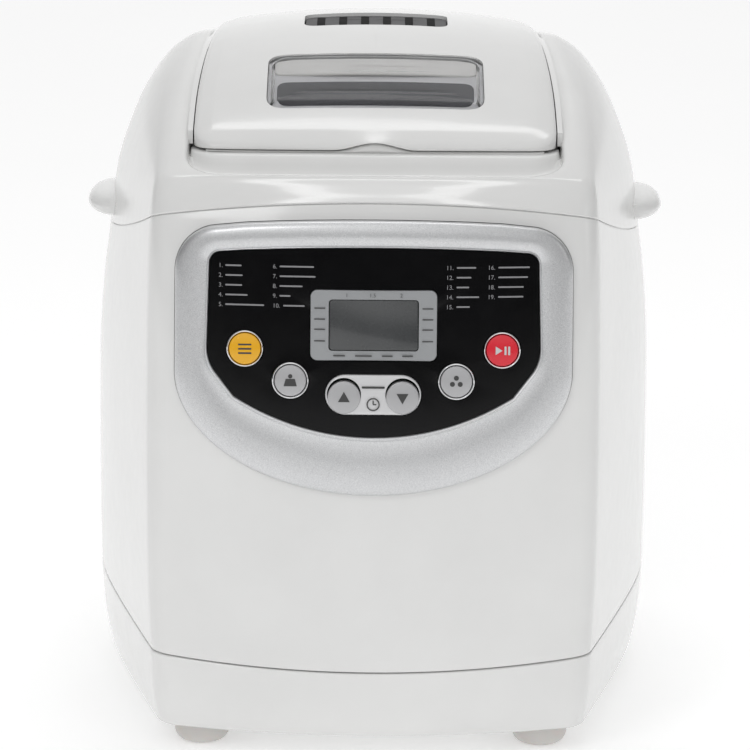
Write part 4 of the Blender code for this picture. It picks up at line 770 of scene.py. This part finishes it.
def control_panel():
    """The bezel, the fascia and all that is let into it."""
    outer, inner = bezel_outline(), fascia_outline(GAP)
    rise = [(0.0, -7.0), (0.0, -0.2), (0.012, 0.5), (0.045, 1.15), (0.11, 1.75), (0.22, 2.2), (0.38, 2.45),
            (0.55, 2.5), (0.70, 2.35), (0.83, 1.95), (0.91, 1.45), (0.935, 1.2), (0.945, 1.55), (0.965, 1.65),
            (0.985, 1.4), (1.0, 0.8), (1.0, -7.0)]

    def between(share, w):
        return [on_panel(*(a + (b - a) * share for a, b in zip(p, q)), w) for p, q in zip(outer, inner)]
    make("panel_bezel_skin", loft([between(s, w) for s, w in rise], loop=True), "housing",
         SILVER, ["panel_bezel"], 40.0)

    holes = [panel_solid(disc(8.45, *place_of(f"{n}_button")), *THROUGH)
             for n in ("menu", "start", "weight", "color")]
    holes.append(panel_solid(moved(stadium(*[h + GAP for h in TIMER_HALF]), 0, TIMER_V), *THROUGH))
    holes.append(panel_solid(moved(rounded_box(*[h + GAP for h in LCD_RIM_HALF], 3.2), *LCD_AT), *THROUGH))
    plate = dense_plate(fascia_outline(), -2.6, PANEL_W)
    make("panel_fascia_skin", carve(plate, holes), "housing", BLACK, ["panel_fascia"])

    rim = panel_solid(moved(rounded_box(*LCD_RIM_HALF, 3.0), *LCD_AT), -2.6, 0.6, 0.4)
    rim = carve(rim, [panel_solid(moved(rounded_box(*[h + GAP for h in LCD_HALF], 1.6), *LCD_AT), *THROUGH)])
    make("display_frame_skin", rim, "housing", LCD_RIM, ["display_frame"])
    make("display_glass_skin", panel_solid(moved(rounded_box(*LCD_HALF, 1.4), *LCD_AT), -3.4, -0.25, 0.2),
         "housing", LCD, ["display_glass"])

    keys = [place_of(f"timer_{n}_button")[0] for n in ("up", "down")]
    capsule = panel_solid(moved(stadium(*TIMER_HALF), 0, TIMER_V), -2.6, 1.1, 0.9)
    capsule = carve(capsule, [panel_solid(disc(7.5, u, TIMER_V), *THROUGH) for u in keys])
    make("timer_surround_skin", capsule, "housing", CAPSULE, ["timer_surround"])

    finish = {"menu": (YELLOW, "yellow_button"), "start": (RED, "red_button"),
              "weight": (BUTTON, "silver_button"), "color": (BUTTON, "silver_button")}
    for name, (look, slot) in finish.items():
        u, v = place_of(f"{name}_button")
        ring = [(8.15, -2.6), (8.15, 0.9), (7.95, 1.35), (7.65, 1.5), (7.35, 1.35), (7.2, 0.9), (7.2, -2.6)]
        make(f"{name}_ring_skin", flat_disc(u, v, ring, loop=True), "housing", CHROME,
             [f"{name}_button_ring"], 50.0)
        make(f"{name}_key", flat_disc(u, v, crown(6.9, -4.2, 1.7, 0.5, 0.35)), f"{name}_key", look,
             [f"{name}_button"], 50.0)
    for name in ("timer_up", "timer_down"):
        u, v = place_of(f"{name}_button")
        make(f"{name}_key", flat_disc(u, v, crown(7.2, -4.2, 1.7, 0.6, 0.3)), f"{name}_key",
             BUTTON, [f"{name}_button"], 50.0)
    prints()


def dense_plate(outline, w_low, w_high):
    """A plate whose bowed face has enough points to bend smoothly."""
    shares = [0.0, 0.25, 0.5, 0.7, 0.85, 0.95, 1.0]
    middle = (0.0, 6.0)
    faces = [[on_panel(*(m + (p - m) * max(s, 0.02) for m, p in zip(middle, point)), w_high)
              for point in outline]
             for s in shares]
    edge = [on_panel(u, v, w_low) for u, v in outline]
    return loft(faces + [edge])


# ---------------------------------------------------------------- printing: digits, rules and signs only
def flat_shape(outline, w):
    """A thin printed patch on the panel."""
    return loft([[on_panel(u, v, w + k) for u, v in outline] for k in (0.0, 0.05)])


def bar(u, v, length, height):
    """A printed stroke's outline and its place, from its left end."""
    return rounded_box(length / 2, height / 2, height * 0.45, 3), (u + length / 2, v)


def digits(text, u, v, height, w):
    """Numerals laid on the panel, left edge at u and baseline at v."""
    font = bpy.data.curves.new("digits", "FONT")
    font.body = text
    font.size = height * 1.42
    font.resolution_u = 3
    helper = bpy.data.objects.new("digits", font)
    bpy.context.scene.collection.objects.link(helper)
    graph = bpy.context.evaluated_depsgraph_get()
    mesh = bpy.data.meshes.new_from_object(helper.evaluated_get(graph))
    bpy.data.objects.remove(helper)
    for vertex in mesh.vertices:
        vertex.co = Vector(on_panel(u + vertex.co.x, v + vertex.co.y, w))
    return mesh


def printed(meshes, name, body, finish):
    """One piece of printing from several small meshes."""
    mesh = joined(meshes)
    mesh.materials.clear()
    make(name, mesh, body, finish)


ROW_PITCH = 4.3
COLUMNS = [(-68.0, (7.1, 7.6, 7.4, 9.8, 17.1)), (-44.2, (15.0, 15.7, 10.0, 4.8, 9.4)),
           (31.4, (8.5, 6.4, 5.5, 9.9, 5.9)), (49.6, (13.8, 13.0, 11.2, 11.1))]


def prints():
    """Numbered rules on the fascia, marks round the display and a sign on each key."""
    face, number, meshes = PANEL_W + 0.06, 1, []
    for left, lengths in COLUMNS:
        for row, length in enumerate(lengths):
            v = 38.4 - row * ROW_PITCH
            meshes.append(digits(f"{number}.", left, v, 1.9, face))
            outline, at = bar(left + (4.6 if number > 9 else 3.0), v + 0.95, length, 0.7)
            meshes.append(flat_shape(moved(outline, *at), face))
            number += 1
    printed(meshes, "panel_printing", "housing", FAINT_PRINT)

    face, meshes = 0.66, []
    for text, u in (("1", -12.4), ("1.5", -2.0), ("2", 11.4)):
        meshes.append(digits(text, u, LCD_AT[1] + 12.5, 1.7, face))
    for u, length in ((-15.0, 5.2), (-4.4, 7.4), (6.0, 4.8), (14.9, 4.8)):
        outline, at = bar(u - length / 2, LCD_AT[1] - 13.3, length, 0.65)
        meshes.append(flat_shape(moved(outline, *at), face))
    for side in (-1, 1):
        for v in (7.5, 2.7, -1.8, -6.9):
            outline, at = bar(side * 23.6 - 2.4, LCD_AT[1] + v, 4.8, 0.5)
            meshes.append(flat_shape(moved(outline, *at), face))
    printed(meshes, "display_marks", "housing", DARK_PRINT)

    def sign(name, outlines, finish):
        u, v = place_of(f"{name}_button")
        shapes = [loft([[square_point(a, b, u, 2.08 + k) for a, b in moved(outline, u, v)]
                        for k in (0.0, 0.05)])
                  for outline in outlines]
        printed(shapes, f"{name}_sign", f"{name}_key", finish)
    sign("menu", [moved(rounded_box(2.9, 0.36, 0.2, 3), 0, dv) for dv in (1.9, 0.0, -1.9)], DARK_PRINT)
    sign("start", [[(-2.9, -1.9), (0.1, 0.0), (-2.9, 1.9)], moved(rounded_box(0.45, 1.9, 0.2, 3), 1.4, 0),
                   moved(rounded_box(0.45, 1.9, 0.2, 3), 3.0, 0)], PRINT)
    sign("weight", [[(-2.9, -2.4), (2.9, -2.4), (2.0, 0.9), (-2.0, 0.9)], disc(0.95, 0.0, 2.0)], DARK_PRINT)
    sign("color", [disc(1.1, -1.7, -1.0), disc(1.1, 1.7, -1.0), disc(1.1, 0.0, 1.7)], DARK_PRINT)
    for name, up in (("timer_up", 1), ("timer_down", -1)):
        arrow = [(-2.6, -1.9 * up), (2.6, -1.9 * up), (0.0, 2.7 * up)]
        sign(name, [arrow if up > 0 else arrow[::-1]], DARK_PRINT)
    timer_v = place_of("timer_up_button")[1]
    label = moved(rounded_box(5.0, 0.45, 0.3, 3), 0.0, timer_v + 4.5)
    printed([*clock_sign(0.0, timer_v - 3.0), flat_shape(label, 1.14)], "timer_sign", "housing", DARK_PRINT)


def square_point(u, v, centre_u, w):
    """A point standing square on the panel over a key centred at centre_u."""
    x, y, z = on_panel(0, v, w - centre_u * centre_u / (2 * PANEL_BOW_R))
    return (x + u, y, z)


def clock_sign(u, v):
    """A round clock face with two hands."""
    profile = ((2.9, 0), (2.9, 0.05), (2.35, 0.05), (2.35, 0))
    rings = [[on_panel(a + u, b + v, 1.14 + k) for a, b in disc(r)] for r, k in profile]
    hands = [[(-0.25, 0), (0.25, 0), (0.25, 1.8), (-0.25, 1.8)],
             [(0, -0.25), (1.4, -0.25), (1.4, 0.25), (0, 0.25)]]
    return [loft(rings, loop=True)] + [flat_shape(moved(h, u, v), 1.14) for h in hands]


# ---------------------------------------------------------------- lid
def lid_height(x, y):
    """Height of the lid's outer face: a crest behind the middle, falling to the front and the sides."""
    front, rear = EDGE_FALL
    fall = front + (rear - front) * (y - LID_FRONT) / (CREST_Y - LID_FRONT)
    return CREST_Z - CREST_FALL * (CREST_Y - y) ** 2 - min(fall, rear) * (x / LID_HALF) ** 2


def notch_rise(x):
    """How far the lid's front rim lifts at x, over the finger notch."""
    return NOTCH_RISE * 0.5 * (1 + math.cos(math.pi * min(abs(x) / NOTCH_HALF, 1.0)))


def lid_ring(inset, drop, flat=None):
    """A line round the lid, inset from its edge, drop below its outer face or at a flat height."""
    y0, y1 = LID_FRONT + 1.5, -(LID_FRONT + 1.5)
    radius = max(LID_CORNER - inset, min(1.5, 0.9 * (LID_HALF - inset)))
    ring = replace(rectangle(LID_HALF - inset, y0 + inset, y1 - inset, 0.0, radius, bow=1.5), taper=1.0)
    points = []
    for x, y, _ in ring.points():
        top = lid_height(x, y)
        z = flat if flat is not None else top - drop
        if y < LID_FRONT + 10.0 and abs(x) < NOTCH_HALF:
            z = top - (top - z) * (top - LID_RIM_Z - notch_rise(x)) / (top - LID_RIM_Z)
        points.append((x, y, z))
    return points


def patch_ring(node, grow, drop=None, flat=None, radius=9.0):
    """A line round an inset piece of the lid, grow outside it."""
    lo, hi = low(node), high(node)
    ring = rectangle(hi.x + grow, lo.y - grow, hi.y + grow, 0.0, max(radius + grow, 0.8))
    return [(x, y, flat if flat is not None else lid_height(x, y) - drop) for x, y, _ in ring.points()]


def corner_back(x, radius=LID_CORNER):
    """How far the lid's front line lies back at x, round its corner."""
    over = max(abs(x) - (LID_HALF - radius), 0.0)
    return radius - math.sqrt(max(radius ** 2 - over ** 2, 0.0))


def finger_tongue():
    """The low white rise that fills the lid's notch and runs down into the scoop."""
    half = LID_HALF - 6.0
    across = [half * (i / 80 - 1) for i in range(161)]
    low_z = LID_RIM_Z - 6.0
    rings = []
    for y, share in ((0.9, 0.2), (1.6, 0.7), (2.4, 0.92), (3.6, 1.0), (8.0, 1.0)):
        top = [(x, LID_FRONT + y + corner_back(x), LID_RIM_Z - 1.0 + (notch_rise(x) + 0.6) * share)
               for x in across]
        rings.append(top + [(x, LID_FRONT + y + corner_back(x), low_z) for x in (half, -half)])
    make("finger_tongue", loft(rings), "housing", WHITE)


def lid():
    """The lid's cover, its knuckles, window and vent."""
    middle = LID_HALF - 0.2
    roof = [(inset, 0.0) for inset in (middle, 80.0, 77.0, 70.0, 60.0, 45.0, 32.0, 20.0, 13.0)]
    roof += [(9.0, 0.1), (7.6, 0.25), (6.0, 0.5), (3.0, 1.0), (1.6, 1.35), (0.7, 1.85), (0.15, 2.6),
             (0.0, 3.2)]
    rim = [(0.15, 0, LID_RIM_Z + 0.25), (0.7, 0, LID_RIM_Z), (WALL, 0, LID_RIM_Z)]
    ceiling = [(WALL, WALL + 0.4), (6.0, WALL + 0.1)]
    ceiling += [(inset, WALL) for inset in (20.0, 45.0, 70.0, 80.0, middle)]
    cover = loft([lid_ring(*place) for place in roof + rim + ceiling])
    window = loft([patch_ring("lid_window", GAP, flat=z) for z in (262.0, 320.0)])
    vent = loft([patch_ring("lid_vent_grille", GAP, flat=z, radius=6.0) for z in (296.0, 320.0)])
    make("lid_cover_skin", carve(cover, [window, vent]), "lid", WHITE, ["lid_cover"], 38.0)
    knuckles = []
    for side in (-1, 1):
        a, b = sorted((side * 51.6, side * 64.9))
        knuckles.append(rod_mesh("x", 4.4, a, b, (HINGE.y, HINGE.z)))
        knuckles.append(box_mesh((a, -LID_FRONT - 3.6, HINGE.z - 3.4), (b, HINGE.y - 1.0, HINGE.z + 3.4),
                                 0.8))
    make("lid_knuckles", joined(knuckles), "lid", WHITE)

    pane = [(-22.0, 0.6), (-14.0, 0.6), (-3.2, 1.2), (-2.2, 3.4), (0.0, 3.4), (0.0, 1.0), (-0.3, 0.3),
            (-0.9, -0.25), (-2.2, -0.75), (-6.0, -1.3), (-14.0, -1.6), (-22.0, -1.7)]
    make("lid_window_pane", loft([patch_ring("lid_window", g, drop=d) for g, d in pane]), "lid",
         CLEAR, ["lid_window"], 50.0)
    window_well()
    grille = loft([patch_ring("lid_vent_grille", g, drop=d, radius=6.0) for g, d in
                   ((0.0, 5.0), (0.0, 1.9), (-0.4, 1.5), (-3.0, 1.5), (-11.0, 1.5))])
    make("lid_vent_skin", grille, "lid", VENT, ["lid_vent_grille"])
    pitch = 2 * high("lid_vent_grille").x / VENT_SLOTS * 0.93
    lo, hi = low("lid_vent_grille").y + 3, high("lid_vent_grille").y - 3
    # black boxes of painted shade, laid on the grille's floor where the vent's openings are
    slots = [vent_slot_shade((i - (VENT_SLOTS - 1) / 2) * pitch, lo, hi) for i in range(VENT_SLOTS)]
    make("lid_vent_slots", joined(slots), "lid", SLOT_SHADE)


def window_well():
    """What shows under the clear window: a light surround with a step in it, and a near-black plate of painted
    shade for the shaded space seen through the inner glass.
    """
    lo, hi = low("lid_window"), high("lid_window")

    def plate(half, y0, y1, drops, radius):
        rings = []
        for inset, drop in drops:
            ring = rectangle(half - inset, y0 + inset, y1 - inset, 0.0, max(radius - inset, 0.6))
            rings.append([(x, y, lid_height(x, y) - drop) for x, y, _ in ring.points()])
        return loft(rings)
    rim = [(0.0, 4.6), (0.0, 3.9), (0.8, 3.5), (4.0, 3.5), (10.0, 3.5)]
    make("window_surround", plate(hi.x - 0.6, lo.y + 0.6, hi.y - 0.6, rim, 8.4), "lid",
         SURROUND)
    step = [(0.0, 3.6), (0.0, 3.1), (0.3, 2.8), (4.0, 2.8), (7.0, 2.8)]
    make("window_step", plate(hi.x - 3.0, lo.y + 33.0, hi.y - 2.0, step, 5.0), "lid", STEP)
    # painted shade: a near-black plate laid where the view goes through the inner glass into the shaded space
    # below
    glass = [(0.0, 3.6), (0.0, 3.2), (0.4, 2.9), (3.0, 2.9), (7.0, 2.9)]
    make("window_space_painted_shade", plate(hi.x - 4.6, lo.y + 7.0, lo.y + 26.0, glass, 5.0), "lid",
         WINDOW_SHADE)


def vent_slot_shade(x, y0, y1, half=1.9):
    """A black box of painted shade standing for an opening of the vent, along the lid."""
    rings = []
    for i in range(9):
        y = y0 + (y1 - y0) * i / 8
        z = lid_height(x, y) - 1.4
        rings.append([(x - half, y, z - 2.0), (x + half, y, z - 2.0), (x + half, y, z), (x - half, y, z)])
    return loft(rings)


def well_steps():
    """The shallow floor of the gap beside the lid, which keeps it a soft line."""
    strips = []
    for side in (-1, 1):
        rings = []
        for i in range(41):
            y = -104.0 + 216.0 * i / 40
            inner, outer = (side * narrowed(x, y, 1.0) for x in (LID_HALF + 0.5, LID_HALF + 2.8))
            z = lid_height(LID_HALF, y) - 3.4
            rings.append([(inner, y, z - 6.0), (outer, y, z - 6.0), (outer, y, z), (inner, y, z)])
        strips.append(loft(rings))
    make("well_steps", joined(strips), "housing", WHITE)


# ---------------------------------------------------------------- stage, light and camera
SKY = 1.07                # light from above and from the sides
SIDE_SHARE = 0.10         # how much of it comes level from the sides
FLOOR_FRONT = 2.3         # metres of floor in front of the object
FLOOR_HALF = 6.0
FLOOR_GLOW = 0.28
EYE_DISTANCE = 2.0        # metres from the point that the camera turns about
EYE_RISE = 12.0           # degrees above the horizontal
EYE_ROLL = 0.45           # degrees
EYE_ABOUT = (0.0, 0.0, 0.150)
EYE_AIM = (0.0008, 0.0, 0.1437)
LENS = 200.4


def stage():
    """A white floor and a sky that is bright above and behind, and dark low in front."""
    bm = bmesh.new()
    bmesh.ops.create_grid(bm, x_segments=2, y_segments=2, size=FLOOR_HALF)
    bmesh.ops.translate(bm, verts=bm.verts, vec=(0.0, FLOOR_HALF - FLOOR_FRONT, 0.0))
    mesh = bpy.data.meshes.new("floor")
    bm.to_mesh(mesh)
    bm.free()
    floor = bpy.data.objects.new("floor", mesh)
    bpy.context.scene.collection.objects.link(floor)
    g = Graph("floor", Roughness=0.9, Emission_Color=(1.0, 1.0, 1.0, 1.0), Emission_Strength=FLOOR_GLOW)
    g.colour(g.ramp(g.noise(3.0), [(0.3, (0.97, 0.97, 0.97)), (0.7, (0.98, 0.98, 0.98))]))
    floor.data.materials.append(g.material)

    world = bpy.data.worlds.new("studio")
    bpy.context.scene.world = world
    world.use_nodes = True
    tree = world.node_tree

    def math_node(kind, first, second):
        made = tree.nodes.new("ShaderNodeMath")
        made.operation = kind
        tree.links.new(first, made.inputs[0])
        if isinstance(second, float):
            made.inputs[1].default_value = second
        else:
            tree.links.new(second, made.inputs[1])
        return made.outputs[0]
    way = tree.nodes.new("ShaderNodeSeparateXYZ")
    tree.links.new(tree.nodes.new("ShaderNodeTexCoord").outputs["Generated"], way.inputs[0])
    behind = math_node("MULTIPLY", math_node("MAXIMUM", math_node("ADD", way.outputs["Y"], 0.3), 0.0), 0.6)
    rise = math_node("ADD", behind, way.outputs["Z"])
    light = tree.nodes.new("ShaderNodeMapRange")
    light.interpolation_type = "SMOOTHSTEP"
    for key, value in (("From Min", -0.03), ("From Max", 0.12), ("To Min", 0.02), ("To Max", SKY)):
        light.inputs[key].default_value = value
    tree.links.new(rise, light.inputs["Value"])
    aside = math_node("ABSOLUTE", way.outputs["X"], 0.0)
    sides = tree.nodes.new("ShaderNodeMapRange")
    for key, value in (("From Min", 0.0), ("From Max", 1.0), ("To Min", 1.0), ("To Max", SIDE_SHARE)):
        sides.inputs[key].default_value = value
    tree.links.new(aside, sides.inputs["Value"])
    level_of = math_node("MULTIPLY", light.outputs[0], sides.outputs[0])
    tree.links.new(level_of, tree.nodes["Background"].inputs["Strength"])
    tree.nodes["Background"].inputs["Color"].default_value = (1.0, 1.0, 1.0, 1.0)
    bpy.context.scene.view_settings.view_transform = "Standard"


def softbox(name, place, aim, size, power):
    """A rectangular lamp, in metres and watts."""
    light = bpy.data.lights.new(name, "AREA")
    light.shape = "RECTANGLE"
    light.size, light.size_y = size
    light.energy = power
    lamp = bpy.data.objects.new(name, light)
    bpy.context.scene.collection.objects.link(lamp)
    lamp.location = place
    lamp.rotation_euler = (Vector(aim) - Vector(place)).to_track_quat("-Z", "Y").to_euler()


def camera():
    """The photo's view: in front, a little above, with a slight roll."""
    data = bpy.data.cameras.new("camera")
    data.lens = LENS
    data.sensor_width = 36.0
    data.clip_end = 50.0
    eye = bpy.data.objects.new("camera", data)
    bpy.context.scene.collection.objects.link(eye)
    tilt = math.radians(EYE_RISE)
    eye.location = Vector(EYE_ABOUT) + EYE_DISTANCE * Vector((0.0, -math.cos(tilt), math.sin(tilt)))
    aim = Vector(EYE_AIM) - eye.location
    turn = aim.to_track_quat("-Z", "Y").to_matrix().to_4x4() @ Matrix.Rotation(math.radians(EYE_ROLL), 4, "Z")
    eye.rotation_euler = turn.to_euler()
    bpy.context.scene.camera = eye


dress_frame()
base_tray()
main_housing()
upper_housing()
grips()
feet()
control_panel()
lid()
finger_tongue()
well_steps()
stage()
softbox("key", (-0.75, -1.5, 1.25), (0, 0, 0.15), (0.5, 0.5), 3.0)
softbox("side", (1.5, -0.7, 0.7), (0, 0, 0.15), (0.25, 0.9), 0.7)
softbox("top", (0.1, 0.5, 1.6), (0, 0, 0.3), (0.9, 0.25), 2.0)
camera()
